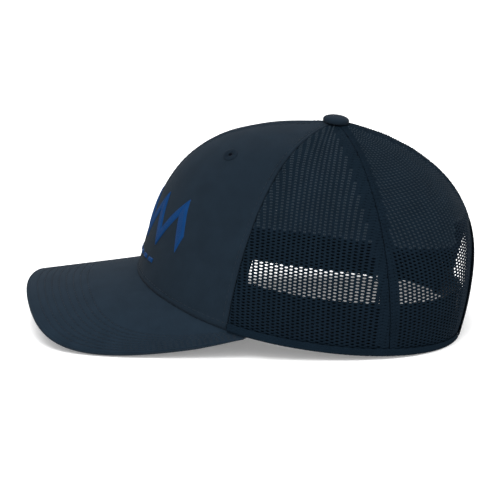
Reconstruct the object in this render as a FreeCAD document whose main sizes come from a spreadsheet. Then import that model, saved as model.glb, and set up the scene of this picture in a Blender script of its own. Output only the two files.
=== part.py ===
import FreeCAD, Part
import Sketcher
import math
import os
import re
from functools import lru_cache

# Six-panel mesh cap with a curved visor and a snap strap at the back.
# Millimetres. +Z is up, the visor points to -Y, the wearer's left is +X, the floor is Z = 0.
# A turn is the angle round the crown, in degrees: 0 at the visor, 90 on the left, 180 at the back.
# A depth is measured inwards from the outer surface of the crown, so the cloth layers stack by depth.

Vector = FreeCAD.Vector
doc = FreeCAD.newDocument("MeshCap")

# ---------------------------------------------------------------- driving dimensions

DIMENSIONS = [
    ("CrownHeight", 120.3, "apex of the crown above the floor"),
    ("ApexY", 52, "where the panels meet under the top button"),
    ("WidestY", 33.3, "centre of the rim outline"),
    ("HalfWidth", 85, "rim, centre to side"),
    ("FrontReach", 100, "rim, centre to front"),
    ("BackReach", 92, "rim, centre to back"),
    ("FrontSquareness", 2.05, "superellipse power of the rim at the front"),
    ("BackSquareness", 3.1, "superellipse power of the rim at the back"),
    ("FrontRimZ", 31, "rim above the floor at the front"),
    ("SideRimZ", 1.8, "rim above the floor at the sides"),
    ("BackRimZ", -0.35, "rim at the middle of the back, where the opening cuts it away"),
    ("LeanFront", 22, "inward lean of the wall at the rim, degrees"),
    ("LeanSide", 3.1, "inward lean at the sides"),
    ("LeanBack", -17.7, "inward lean at the back, which flares outwards"),
    ("SlopeFront", 0.2, "fall of the panels from the apex, degrees"),
    ("SlopeSide", 12.5, "fall of the panels to the sides"),
    ("SlopeBack", 13, "fall of the panels to the back"),
    ("WallPullFront", 0.306, "how far the wall keeps its lean, share of the rise"),
    ("WallPullSide", 0.456, "the same at the sides"),
    ("WallPullBack", 0.455, "the same at the back"),
    ("TopPullFront", 0.586, "how far the top keeps its slope, share of the reach"),
    ("TopPullSide", 0.24, "the same at the sides"),
    ("TopPullBack", 0.526, "the same at the back"),
    ("ShoulderInFront", 0.121, "shoulder of the profile, share of the reach"),
    ("ShoulderInSide", 0.435, "the same at the sides"),
    ("ShoulderInBack", -0.214, "the same at the back"),
    ("ShoulderUpFront", 0.909, "shoulder of the profile, share of the rise"),
    ("ShoulderUpSide", 0.887, "the same at the sides"),
    ("ShoulderUpBack", 0.693, "the same at the back"),
    ("PanelTurn", 60, "angle of one panel"),
    ("SeamGap", 0.3, "gap between two panels along a seam"),
    ("FabricThick", 0.9, "front panel cloth"),
    ("MeshThick", 0.8, "mesh panel"),
    ("BuckramDepth", 1.0, "outer face of the stiff backing of the front"),
    ("BuckramThick", 0.6, "stiff backing"),
    ("TapeThick", 0.6, "seam tape"),
    ("TapeHalfWidth", 5.5, "seam tape, seam to edge"),
    ("FrontTapeDepth", 1.7, "tapes of the front seams, behind the backing"),
    ("MeshTapeDepth", 0.9, "tapes of the mesh seams"),
    ("HemHeight", 5.7, "folded lower edge of the mesh"),
    ("HemDepth", 0.9, "outer face of the fold"),
    ("HemThick", 0.7, "the fold"),
    ("VisorTapeDepth", 2.5, "binding of the visor seam"),
    ("VisorTapeHeight", 9, "the same, up the wall"),
    ("SweatbandHeight", 29.5, "sweatband up the wall"),
    ("SweatbandDepth", 5.4, "outer face of the sweatband cloth"),
    ("SweatbandThick", 0.6, "sweatband cloth"),
    ("SweatbandEndTurn", 150, "where the sweatband ends beside the rear opening"),
    ("CoreDepth", 4.6, "outer face of the sweatband padding"),
    ("CoreThick", 0.7, "sweatband padding"),
    ("CoreHeight", 25, "padding up the wall"),
    ("VisorTurn", 68.9, "where the visor meets the rim at each side"),
    ("VisorTipY", -133, "front edge of the visor"),
    ("VisorTipZ", 22.7, "height of the front edge"),
    ("VisorWidth", 83.5, "half width that pulls the edge outwards"),
    ("VisorDroop", -14.1, "height that pulls the side of the edge down"),
    ("VisorCoverThick", 0.7, "cloth of the visor, above and below"),
    ("VisorBoardThick", 1.8, "plastic board inside the visor"),
    ("VisorBoardReach", 0.985, "board, share of the way to the edge"),
    ("VisorLayerGap", 0.1, "gap between board and cloth"),
    ("VisorTuck", 1.5, "visor under the lower edge of the crown"),
    ("VisorSeamDrop", 0.3, "visor below the lower edge of the crown"),
    ("ArchHalfWidth", 38.5, "clear rear opening, centre to side"),
    ("ArchSpringZ", 18, "where the round top of the opening starts"),
    ("BindingWidth", 4.5, "binding of the opening, on each face"),
    ("BindingThick", 0.5, "binding cloth"),
    ("BindingRoom", 0.1, "gap between binding and mesh"),
    ("StrapLowZ", 1.6, "lower edge of the snap straps"),
    ("StrapHeight", 18, "snap strap, lower to upper edge"),
    ("StrapThick", 1.1, "snap strap"),
    ("HoleStrapDepth", 1.8, "outer face of the strap with holes"),
    ("PegStrapDepth", 3.2, "outer face of the strap with pegs"),
    ("HingeX", 36.4, "bending line of each strap, beside the opening"),
    ("HingeGap", 0.9, "from the bending line to the sewn tab"),
    ("TabEndX", 55, "sewn tab, far end"),
    ("SnapPitch", 8, "peg to peg and hole to hole"),
    ("SnapCount", 7, "pegs on one strap, holes in the other"),
    ("SnapsPastCentre", 2, "pegs and holes between the centre and the free end"),
    ("SnapEndMargin", 5.5, "last peg or hole to the free end"),
    ("HoleRadius", 2.3, "hole of the strap"),
    ("PegRadius", 1.65, "peg at its root"),
    ("PegTipRadius", 1.35, "peg at its tip"),
    ("PegHeight", 2.6, "peg above its strap"),
    ("EyeletTurn", 28, "place of the ventilation eyelet"),
    ("EyeletHeight", 93.8, "up the wall from the rim"),
    ("EyeletRadius", 5, "stitched ring, outside"),
    ("EyeletHoleRadius", 1.6, "hole of the eyelet"),
    ("EyeletThick", 0.7, "stitched ring"),
    ("ButtonRadius", 7.8, "covered top button"),
    ("ButtonRise", 3.6, "top of the button over the apex"),
    ("ButtonLip", 0.75, "button rim below the apex plane"),
    ("ButtonTilt", 6, "button leaning back, degrees"),
    ("ButtonCloth", 0.5, "cloth over the button"),
    ("ShankRadius", 1.5, "rivet of the button"),
    ("ShankLength", 5.4, "rivet below the apex plane"),
    ("PlateRadius", 6, "washer under the crown"),
    ("PlateThick", 0.6, "the washer"),
    ("EmblemLowZ", 52, "low corners of the stitched zigzag"),
    ("EmblemHighZ", 82, "high corners of the zigzag"),
    ("EmblemHalfWidth", 45, "zigzag, centre to side"),
    ("EmblemPeaks", 5, "peaks of the zigzag"),
    ("EmblemStroke", 10, "stitched line, measured upright"),
    ("EmblemThick", 0.7, "stitching over the cloth"),
    ("EmblemGap", 0.08, "under the stitching"),
    ("DashRowZ", 42, "row of stitched dashes under the zigzag"),
    ("DashPitch", 9, "dash to dash"),
    ("DashLength", 5.5, "one dash"),
    ("DashHeight", 2.4, "one dash"),
]

sheet = doc.addObject("Spreadsheet::Sheet", "Dimensions")
for row, (alias, value, note) in enumerate(DIMENSIONS, 1):
    sheet.set(f"A{row}", alias)
    sheet.set(f"B{row}", str(value))
    sheet.set(f"C{row}", note)
    sheet.setAlias(f"B{row}", alias)
doc.recompute()
dim = {alias: float(sheet.get(alias)) for alias, _value, _note in DIMENSIONS}

subparts = {}

LEFT = 1
RIGHT = -1
SIDES = ((LEFT, "left"), (RIGHT, "right"))


def keep(feature, label):
    """Registers a finished sub-part under the name of its file."""
    feature.Label = label
    subparts[label] = feature
    return feature


# ---------------------------------------------------------------- crown surface

def round_crown(quantity, turn):
    """A value given at front, side and back, blended smoothly round the crown."""
    front, side, back = (dim[quantity + end] for end in ("Front", "Side", "Back"))
    angle = math.radians(turn)
    twice = ((front + back) / 2 - side) / 2
    return side + twice + (front - back) / 2 * math.cos(angle) + twice * math.cos(2 * angle)


def rim_point(turn):
    """Lower edge of the crown: a superellipse in plan that rises towards the visor."""
    angle = math.radians(turn)
    front_share = (1 + math.cos(angle)) / 2
    power = dim["BackSquareness"] + (dim["FrontSquareness"] - dim["BackSquareness"]) * front_share
    reach = dim["BackReach"] + (dim["FrontReach"] - dim["BackReach"]) * front_share
    along = abs(math.cos(angle) / reach) ** power
    across = abs(math.sin(angle) / dim["HalfWidth"]) ** power
    radius = (along + across) ** (-1 / power)
    rise_front = (dim["FrontRimZ"] - dim["SideRimZ"]) * front_share ** 2.4
    drop_back = (dim["SideRimZ"] - dim["BackRimZ"]) * (1 - front_share) ** 4
    x = radius * math.sin(angle)
    y = dim["WidestY"] - radius * math.cos(angle)
    return Vector(x, y, dim["SideRimZ"] + rise_front - drop_back)


def bezier(values, share):
    """Bezier curve through plain numbers or vectors."""
    order = len(values) - 1
    weights = [math.comb(order, i) * (1 - share) ** (order - i) * share ** i for i in range(order + 1)]
    total = values[0] * weights[0]
    for value, weight in zip(values[1:], weights[1:]):
        total = total + value * weight
    return total


@lru_cache(maxsize=None)
def profile(turn):
    """Rim point, plan direction to the apex, and the quartic profile as distances in and up."""
    rim = rim_point(turn)
    to_apex = Vector(0, dim["ApexY"], rim.z) - rim
    reach = to_apex.Length
    rise = dim["CrownHeight"] - rim.z
    lean = math.radians(round_crown("Lean", turn))
    slope = math.radians(round_crown("Slope", turn))
    wall = round_crown("WallPull", turn) * rise
    top = round_crown("TopPull", turn) * reach
    inwards = [0, wall * math.sin(lean), round_crown("ShoulderIn", turn) * reach,
               reach - top * math.cos(slope), reach]
    upwards = [0, wall * math.cos(lean), round_crown("ShoulderUp", turn) * rise,
               rise - top * math.sin(slope), rise]
    return rim, to_apex.normalize(), inwards, upwards


def surface_point(turn, share):
    """Outer surface of the crown, share 0 at the rim and 1 at the apex."""
    rim, towards, inwards, upwards = profile(turn)
    return rim + towards * bezier(inwards, share) + Vector(0, 0, bezier(upwards, share))


def outward(turn, share):
    """Unit normal of the outer surface."""
    step_turn, step_share = 0.05, 0.001
    round_it = surface_point(turn + step_turn, share) - surface_point(turn - step_turn, share)
    up_it = surface_point(turn, share + step_share) - surface_point(turn, share - step_share)
    return round_it.cross(up_it).normalize()


def crown_point(turn, share, depth):
    return surface_point(turn, share) - outward(turn, share) * depth


@lru_cache(maxsize=None)
def heights(turn):
    """Distance up the wall from the rim at evenly spaced shares."""
    steps = 200
    points = [surface_point(turn, i / steps) for i in range(steps + 1)]
    lengths = [0.0]
    for low, high in zip(points, points[1:]):
        lengths.append(lengths[-1] + (high - low).Length)
    return lengths


def share_at(turn, height):
    """Share of the profile at a distance up the wall; a little below the rim it is negative."""
    lengths = heights(turn)
    steps = len(lengths) - 1
    upper = min(max(1, sum(1 for length in lengths if length < height)), steps)
    low, high = lengths[upper - 1], lengths[upper]
    return (upper - 1 + (height - low) / (high - low)) / steps


def wall_point(turn, height, depth):
    return crown_point(turn, share_at(turn, height), depth)


def share_near_apex(turn, radius):
    """Share at which the surface is a given plan distance from the apex."""
    _rim, _towards, inwards, _upwards = profile(turn)
    return 1 - radius / (4 * (inwards[4] - inwards[3]))


def turn_at(x):
    """Turn of the rim point at the back whose X is given."""
    low, high = 120.0, 180.0
    for _ in range(40):
        middle = (low + high) / 2
        if rim_point(middle).x > x:
            low = middle
        else:
            high = middle
    return middle


# ---------------------------------------------------------------- sheets of cloth

def spread(first, last, count):
    return [first + (last - first) * i / (count - 1) for i in range(count)]


def border(skin):
    """The four edges of a skin."""
    first_around, last_around, low, high = skin.bounds()
    curves = (skin.uIso(first_around), skin.uIso(last_around), skin.vIso(low), skin.vIso(high))
    return [curve.toShape() for curve in curves]


def sheet_solid(point, rounds, ups, outer_depth, inner_depth, side=LEFT):
    """Closed solid between two smooth skins through grids of point(around, up, depth)."""
    skins = []
    for depth in (outer_depth, inner_depth):
        grid = [[point(around, up, depth) for up in ups] for around in rounds]
        if side == RIGHT:
            grid = [[Vector(-place.x, place.y, place.z) for place in line] for line in grid]
        skin = Part.BSplineSurface()
        skin.interpolate(grid)
        skins.append(skin)
    faces = [skin.toShape() for skin in skins]
    for outer_edge, inner_edge in zip(*(border(skin) for skin in skins)):
        faces.append(Part.makeRuledSurface(outer_edge, inner_edge))
    sewn = Part.makeShell(faces)
    sewn.sewShape(0.01)
    return Part.Solid(sewn.Shells[0])


def cloth(name, solid):
    """Puts a ready shape into the document."""
    feature = doc.addObject("Part::Feature", name)
    feature.Shape = solid
    feature.Placement = FreeCAD.Placement()
    return feature


def gore(first_turn, last_turn, low_height, top_radius, depth, thick, side):
    """A panel from the rim to the apex, between two seams."""
    def place(turn, share, at_depth):
        low = share_at(turn, low_height)
        return crown_point(turn, low + (share_near_apex(turn, top_radius) - low) * share, at_depth)
    return sheet_solid(place, spread(first_turn, last_turn, 9), spread(0, 1, 17), depth, depth + thick, side)


def band(first_turn, last_turn, low, high, depth, thick, side=LEFT):
    """A strip round the lower edge, between two heights up the wall."""
    count = max(9, round(abs(last_turn - first_turn) / 6))
    return sheet_solid(wall_point, spread(first_turn, last_turn, count), spread(low, high, 5),
                       depth, depth + thick, side)


def seam_tape(seam_turn, low_height, top_radius, depth, side):
    """A narrow tape that runs up behind a seam."""
    def place(across, share, at_depth):
        low = share_at(seam_turn, low_height)
        at = low + (share_near_apex(seam_turn, top_radius) - low) * share
        per_degree = (surface_point(seam_turn + 0.5, at) - surface_point(seam_turn - 0.5, at)).Length
        half_turn = min(dim["TapeHalfWidth"] / per_degree, 0.49 * dim["PanelTurn"])
        return crown_point(seam_turn + across * half_turn, at, at_depth)
    return sheet_solid(place, spread(-1, 1, 5), spread(0, 1, 17), depth, depth + dim["TapeThick"], side)


# ---------------------------------------------------------------- parametric helpers

def of_sheet(expression):
    """An expression of aliases, with the sheet named before each one."""
    return re.sub(r"[A-Z][A-Za-z]+", lambda alias: "Dimensions." + alias.group(), expression)


def bind(feature, **sizes):
    """Binds properties to expressions of the sheet; X, Y and Z stand for the place."""
    for key, expression in sizes.items():
        path = "Placement.Base." + key.lower() if key in "XYZ" else key
        feature.setExpression(path, of_sheet(expression))
    return feature


def primitive(kind, name, **sizes):
    return bind(doc.addObject("Part::" + kind, name), **sizes)


def cut(name, base, tool):
    feature = doc.addObject("Part::Cut", name)
    feature.Base = base
    feature.Tool = tool
    return feature


def joined(kind, name, shapes):
    """Part::MultiFuse or Part::MultiCommon of several objects."""
    feature = doc.addObject(kind, name)
    feature.Shapes = shapes
    return feature


def origin_item(body, role):
    return next(item for item in body.Origin.OriginFeatures if item.Role == role)


def outline(body, name, plane, loops):
    """A sketch of closed polygons whose corners, (across, up) expressions, are bound to the sheet."""
    sketch = body.newObject("Sketcher::SketchObject", name)
    sketch.AttachmentSupport = [(origin_item(body, plane), "")]
    sketch.MapMode = "FlatFace"
    for loop in loops:
        places = [[float(sheet.evalExpression(expression)) for expression in corner] for corner in loop]
        corners = [Vector(across, up, 0) for across, up in places]
        first = sketch.GeometryCount
        for i, corner in enumerate(corners):
            sketch.addGeometry(Part.LineSegment(corner, corners[(i + 1) % len(corners)]))
        for i, corner in enumerate(loop):
            line_before = first + (i - 1) % len(loop)
            sketch.addConstraint(Sketcher.Constraint("Coincident", line_before, 2, first + i, 1))
            for kind, value, expression in zip(("DistanceX", "DistanceY"), places[i], corner):
                held = sketch.addConstraint(Sketcher.Constraint(kind, -1, 1, first + i, 1, value))
                sketch.setExpression(f"Constraints[{held}]", of_sheet(expression))
    return sketch


def turned_body(label, loop, rounding=None):
    """A body turned about its own Z axis from a half profile.

    rounding is (radius, height, fillet): the fillet goes on the circular edge at that place."""
    body = doc.addObject("PartDesign::Body", "body_" + label)
    sketch = outline(body, "profile_" + label, "XZ_Plane", [loop])
    turned = body.newObject("PartDesign::Revolution", "turned_" + label)
    turned.Profile = sketch
    turned.ReferenceAxis = (sketch, ["V_Axis"])
    turned.Angle = 360
    if rounding:
        doc.recompute()
        radius, height, fillet_size = rounding
        edge = edge_at(turned.Shape, dim_value(radius), dim_value(height))
        fillet = body.newObject("PartDesign::Fillet", "rounded_" + label)
        fillet.Base = (turned, [edge])
        bind(fillet, Radius=fillet_size)
        body.Tip = fillet
    return body


def dim_value(expression):
    return float(sheet.evalExpression(expression))


def edge_at(shape, radius, height):
    """Name of the circular edge with a given radius and height."""
    for number, edge in enumerate(shape.Edges, 1):
        curve = edge.Curve
        if hasattr(curve, "Radius") and abs(curve.Radius - radius) < 0.01 and abs(curve.Center.z - height) < 0.01:
            return f"Edge{number}"
    raise ValueError(f"no circular edge of radius {radius} at height {height}")


def padded_outline(name, loops, length, reverse):
    """A prism along Y from the XZ plane, from a sketch of polygons."""
    body = doc.addObject("PartDesign::Body", "body_" + name)
    pad = body.newObject("PartDesign::Pad", name)
    pad.Profile = outline(body, "outline_" + name, "XZ_Plane", loops)
    pad.Length = length
    pad.Reversed = reverse
    return body


# ---------------------------------------------------------------- places on the crown

APEX = Vector(0, dim["ApexY"], dim["CrownHeight"])
BACK_TURN = 180
half_seam = math.degrees(dim["SeamGap"] / 2 / dim["HalfWidth"])
eyelet_along = share_at(dim["EyeletTurn"], dim["EyeletHeight"])
RIVET_CLEAR = dim["ShankRadius"] + 1
PLATE_CLEAR = dim["PlateRadius"] + 3


def mirrored(place, side):
    return Vector(side * place.x, place.y, place.z)


def frame_on_crown(turn, share, depth, side):
    """Placement whose Z axis points out of the crown."""
    normal = mirrored(outward(turn, share), side)
    return FreeCAD.Placement(mirrored(crown_point(turn, share, depth), side),
                             FreeCAD.Rotation(Vector(0, 0, 1), normal))


# ---------------------------------------------------------------- front panels and their backing

def eyelet_hole(name, side):
    """A round cutter through every layer at the eyelet."""
    hole = primitive("Cylinder", name, Radius="EyeletHoleRadius", Height="8 * EyeletHoleRadius")
    hole.Placement = frame_on_crown(dim["EyeletTurn"], eyelet_along, 4 * dim["EyeletHoleRadius"], side)
    return hole


def front_panel(side, word):
    whole = cloth("front_cloth_" + word, gore(half_seam, dim["PanelTurn"] - half_seam, 0, RIVET_CLEAR,
                                              0, dim["FabricThick"], side))
    keep(cut("front_cut_" + word, whole, eyelet_hole("front_hole_" + word, side)), "front_panel_" + word)


def buckram(side, word):
    inset = 2
    whole = cloth("backing_" + word, gore(inset, dim["PanelTurn"] - inset, 1, PLATE_CLEAR,
                                          dim["BuckramDepth"], dim["BuckramThick"], side))
    keep(cut("backing_cut_" + word, whole, eyelet_hole("backing_hole_" + word, side)), "buckram_" + word)


def eyelet(side, word):
    """Stitched ring round the ventilation hole."""
    body = turned_body("eyelet_" + word, [
        ("EyeletHoleRadius", "0"),
        ("EyeletRadius", "0"),
        ("EyeletRadius - EyeletThick / 2", "EyeletThick * 0.8"),
        ("(EyeletRadius + EyeletHoleRadius) / 2", "EyeletThick"),
        ("EyeletHoleRadius + EyeletThick / 2", "EyeletThick * 0.8")])
    body.Placement = frame_on_crown(dim["EyeletTurn"], eyelet_along, -dim["EmblemGap"], side)
    keep(body, "eyelet_" + word)


# ---------------------------------------------------------------- rear opening

def arch(name, growth):
    """Prism of the rear opening, wider all round by a growth expression."""
    radius = f"ArchHalfWidth + {growth}"
    block = primitive("Box", name + "_block", Length=f"2 * ({radius})", Width="2 * BackReach",
                      Height="ArchSpringZ + HalfWidth", X=f"-({radius})", Y="ApexY", Z="-HalfWidth")
    drum = primitive("Cylinder", name + "_drum", Radius=radius, Height="2 * BackReach",
                     Y="ApexY", Z="ArchSpringZ")
    drum.Placement.Rotation = FreeCAD.Rotation(Vector(1, 0, 0), -90)
    return joined("Part::MultiFuse", name, [block, drum])


def rear_layer(name, outer_depth, inner_depth):
    """The whole back of the crown as one layer, from the rim to well above the opening."""
    def place(turn, share, depth):
        side = RIGHT if turn > BACK_TURN else LEFT
        return mirrored(crown_point(min(turn, 2 * BACK_TURN - turn), share, depth), side)
    low_share, high_share = 0.004, 0.6
    return cloth(name, sheet_solid(place, spread(128, 232, 27), spread(low_share, high_share, 13),
                                   outer_depth, inner_depth))


def rear_mesh(side, word):
    last_turn = BACK_TURN - half_seam
    whole = cloth("rear_cloth_" + word, gore(2 * dim["PanelTurn"] + half_seam, last_turn, 0, RIVET_CLEAR,
                                             0, dim["MeshThick"], side))
    opening = arch("arch_" + word, "BindingThick + BindingRoom")
    keep(cut("rear_cut_" + word, whole, opening), "rear_mesh_" + word)


def rear_arch_binding():
    """A folded tape over the edge of the opening: an outer leg, an inner leg and the edge between."""
    room = dim["BindingRoom"]
    outside = rear_layer("binding_stock", -dim["BindingThick"] - room,
                         dim["MeshThick"] + room + dim["BindingThick"])
    inside = rear_layer("binding_room", -room, dim["MeshThick"] + room)
    ring = cut("binding_ring", arch("binding_outline", "BindingWidth"), arch("binding_hole", "0"))
    slot = cut("binding_slot", inside, arch("binding_edge", "BindingThick"))
    keep(cut("binding_fold", joined("Part::MultiCommon", "binding_blank", [outside, ring]), slot),
         "rear_arch_binding")


# ---------------------------------------------------------------- snap straps

def strap_outline(name, side, from_x, to_x, rounded):
    """Prism of a strap seen from behind, from one X to another, with a round free end or none."""
    width = f"({to_x}) - ({from_x})"
    start = from_x if side == LEFT else f"-({to_x})"
    if not rounded:
        return primitive("Box", name, Length=width, Width="2 * BackReach", Height="StrapHeight",
                         X=start, Y="ApexY", Z="StrapLowZ")
    radius = "StrapHeight / 2"
    block_start = f"({from_x}) + {radius}" if side == LEFT else start
    block = primitive("Box", name + "_block", Length=f"{width} - {radius}", Width="2 * BackReach",
                      Height="StrapHeight", X=block_start, Y="ApexY", Z="StrapLowZ")
    drum = primitive("Cylinder", name + "_end", Radius=radius, Height="2 * BackReach",
                     X=f"{'' if side == LEFT else '-'}(({from_x}) + {radius})", Y="ApexY",
                     Z=f"StrapLowZ + {radius}")
    drum.Placement.Rotation = FreeCAD.Rotation(Vector(1, 0, 0), -90)
    return joined("Part::MultiFuse", name, [block, drum])


def strap_stock(name, depth):
    """The strip of plastic that both the strap and its tab are cut from."""
    def place(turn, height, at_depth):
        side = RIGHT if turn > BACK_TURN else LEFT
        return mirrored(wall_point(min(turn, 2 * BACK_TURN - turn), height, at_depth), side)
    tall = dim["StrapLowZ"] + dim["StrapHeight"] + 4
    return cloth(name, sheet_solid(place, spread(136, 224, 25), spread(0, tall, 5),
                                   depth, depth + dim["StrapThick"]))


def snap_places(side):
    """X of every peg or hole of the strap that is sewn in on one side."""
    count = int(dim["SnapCount"])
    past = int(dim["SnapsPastCentre"])
    return [side * dim["SnapPitch"] * (i - past) for i in range(count)]


def frame_on_strap(x, depth):
    """Placement at mid height of the strap, with Z pointing out of the crown."""
    turn = turn_at(abs(x))
    height = dim["StrapLowZ"] + dim["StrapHeight"] / 2
    share = share_at(turn, height)
    return frame_on_crown(turn, share, depth, LEFT if x >= 0 else RIGHT)


STRAP_END_X = "-(SnapsPastCentre * SnapPitch + SnapEndMargin)"


def strap_pieces(word, side, depth):
    """The free strap before its pegs or holes, and its sewn tab."""
    free = joined("Part::MultiCommon", word + "_strap_blank",
                  [strap_stock(word + "_strap_stock", depth),
                   strap_outline(word + "_strap_outline", side, STRAP_END_X, "HingeX", True)])
    tab = joined("Part::MultiCommon", word + "_tab_blank",
                 [strap_stock(word + "_tab_stock", depth),
                  strap_outline(word + "_tab_outline", side, "HingeX + HingeGap", "TabEndX", False)])
    keep(tab, word + "_strap_tab")
    return free


def bending_line(side, depth):
    """Lower point and upward direction of the line on which a strap swings."""
    ends = []
    for height in (dim["StrapLowZ"], dim["StrapLowZ"] + dim["StrapHeight"]):
        low, high = 120.0, 180.0
        for _ in range(40):
            middle = (low + high) / 2
            place = wall_point(middle, height, depth + dim["StrapThick"] / 2)
            low, high = (middle, high) if place.x > dim["HingeX"] else (low, middle)
        ends.append(mirrored(place, side))
    return ends[0], (ends[1] - ends[0]).normalize()


def hole_strap():
    side = LEFT
    free = strap_pieces("hole", side, dim["HoleStrapDepth"])
    cutters = []
    for number, x in enumerate(snap_places(side), 1):
        hole = primitive("Cylinder", f"snap_hole_{number}", Radius="HoleRadius", Height="6 * StrapThick")
        hole.Placement = frame_on_strap(x, dim["HoleStrapDepth"] + 3 * dim["StrapThick"])
        cutters.append(hole)
    keep(cut("hole_strap_cut", free, joined("Part::MultiFuse", "snap_holes", cutters)), "hole_strap")


def peg_strap():
    side = RIGHT
    free = strap_pieces("peg", side, dim["PegStrapDepth"])
    root = 0.3
    pegs = []
    for number, x in enumerate(snap_places(side), 1):
        peg = primitive("Cone", f"peg_{number}", Radius1="PegRadius", Radius2="PegTipRadius",
                        Height=f"PegHeight + {root}")
        peg.Placement = frame_on_strap(x, dim["PegStrapDepth"] + root)
        pegs.append(peg)
    keep(joined("Part::MultiFuse", "peg_strap_fused", [free] + pegs), "peg_strap")


# ---------------------------------------------------------------- visor

def visor_edge(across):
    """Outer edge of the visor, from the middle (0) to the rim (1)."""
    corner = rim_point(dim["VisorTurn"])
    tip_y, tip_z, width = dim["VisorTipY"], dim["VisorTipZ"], dim["VisorWidth"]
    return bezier([Vector(0, tip_y, tip_z),
                   Vector(width / 2, tip_y, tip_z),
                   Vector(width * 0.8, tip_y + 17, tip_z - 8),
                   Vector(width, tip_y + 2.4, dim["VisorDroop"]),
                   corner], across)


def visor_skin(across, out):
    """Upper face of the visor, from under the crown (out = 0) to its edge (out = 1)."""
    span = abs(across)
    turn = dim["VisorTurn"] * span ** 0.95
    inner = wall_point(turn, -dim["VisorSeamDrop"], dim["VisorTuck"])
    place = inner + (visor_edge(span) - inner) * out
    return mirrored(place, LEFT if across >= 0 else RIGHT)


def visor_point(across, out, depth):
    step = 0.002
    along = visor_skin(across + step, out) - visor_skin(across - step, out)
    outwards = visor_skin(across, out + step) - visor_skin(across, out - step)
    return visor_skin(across, out) + along.cross(outwards).normalize() * depth


def visor_layer(name, depth, thick, reach):
    """One layer of the visor; reach is the share of the way to the edge."""
    corner = 0.99
    keep(cloth(name, sheet_solid(visor_point, spread(corner, -corner, 41), spread(0, reach, 7),
                                 depth, depth + thick)), name)


def visor():
    cover, board, gap = dim["VisorCoverThick"], dim["VisorBoardThick"], dim["VisorLayerGap"]
    visor_layer("visor_top_cover", 0, cover, 1)
    visor_layer("visor_board", cover + gap, board, dim["VisorBoardReach"])
    visor_layer("visor_under_cover", cover + board + 2 * gap, cover, 1)


# ---------------------------------------------------------------- tapes, hem and sweatband

def seam_tapes():
    turn = dim["PanelTurn"]
    hem_top = dim["HemHeight"] + 1
    arch_top = dim["ArchSpringZ"] + dim["ArchHalfWidth"] + dim["BindingWidth"]
    above_arch = next(height for height in range(int(arch_top), 200)
                      if wall_point(BACK_TURN, height, 0).z > arch_top + 1)
    front_depth = dim["FrontTapeDepth"]
    mesh_depth = dim["MeshTapeDepth"]
    keep(cloth("centre_tape", seam_tape(0, 1, PLATE_CLEAR, front_depth, LEFT)), "front_centre_tape")
    keep(cloth("back_tape", seam_tape(BACK_TURN, above_arch, PLATE_CLEAR, mesh_depth, LEFT)),
         "rear_centre_tape")
    for side, word in SIDES:
        keep(cloth("front_tape_" + word, seam_tape(turn, hem_top, PLATE_CLEAR, front_depth, side)),
             f"front_{word}_tape")
        keep(cloth("rear_tape_" + word, seam_tape(2 * turn, hem_top, PLATE_CLEAR, mesh_depth, side)),
             f"rear_{word}_tape")


def lower_edge():
    """Hem of the mesh, binding of the visor seam, and the padded sweatband."""
    turn = dim["PanelTurn"]
    sweat_end = dim["SweatbandEndTurn"]
    for side, word in SIDES:
        keep(cloth("hem_" + word, band(turn + 3, sweat_end - 7, 0.4, dim["HemHeight"], dim["HemDepth"],
                                       dim["HemThick"], side)), "mesh_hem_" + word)
    front = band_all_round(dim["VisorTurn"], 0.6, dim["VisorTapeHeight"], dim["VisorTapeDepth"],
                           dim["TapeThick"])
    keep(cloth("visor_binding", front), "visor_seam_tape")
    keep(cloth("sweat_cloth", band_all_round(sweat_end, 0.5, dim["SweatbandHeight"],
                                             dim["SweatbandDepth"], dim["SweatbandThick"])), "sweatband")
    keep(cloth("sweat_padding", band_all_round(sweat_end - 4, 1.5, dim["CoreHeight"],
                                               dim["CoreDepth"], dim["CoreThick"])), "sweatband_padding")


def band_all_round(end_turn, low, high, depth, thick):
    """A strip round the front, from one side's end turn to the other's."""
    def place(turn, height, at_depth):
        return mirrored(wall_point(abs(turn), height, at_depth), LEFT if turn >= 0 else RIGHT)
    count = 2 * round(end_turn / 6) + 1
    return sheet_solid(place, spread(-end_turn, end_turn, count), spread(low, high, 5), depth, depth + thick)


# ---------------------------------------------------------------- top button

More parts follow.
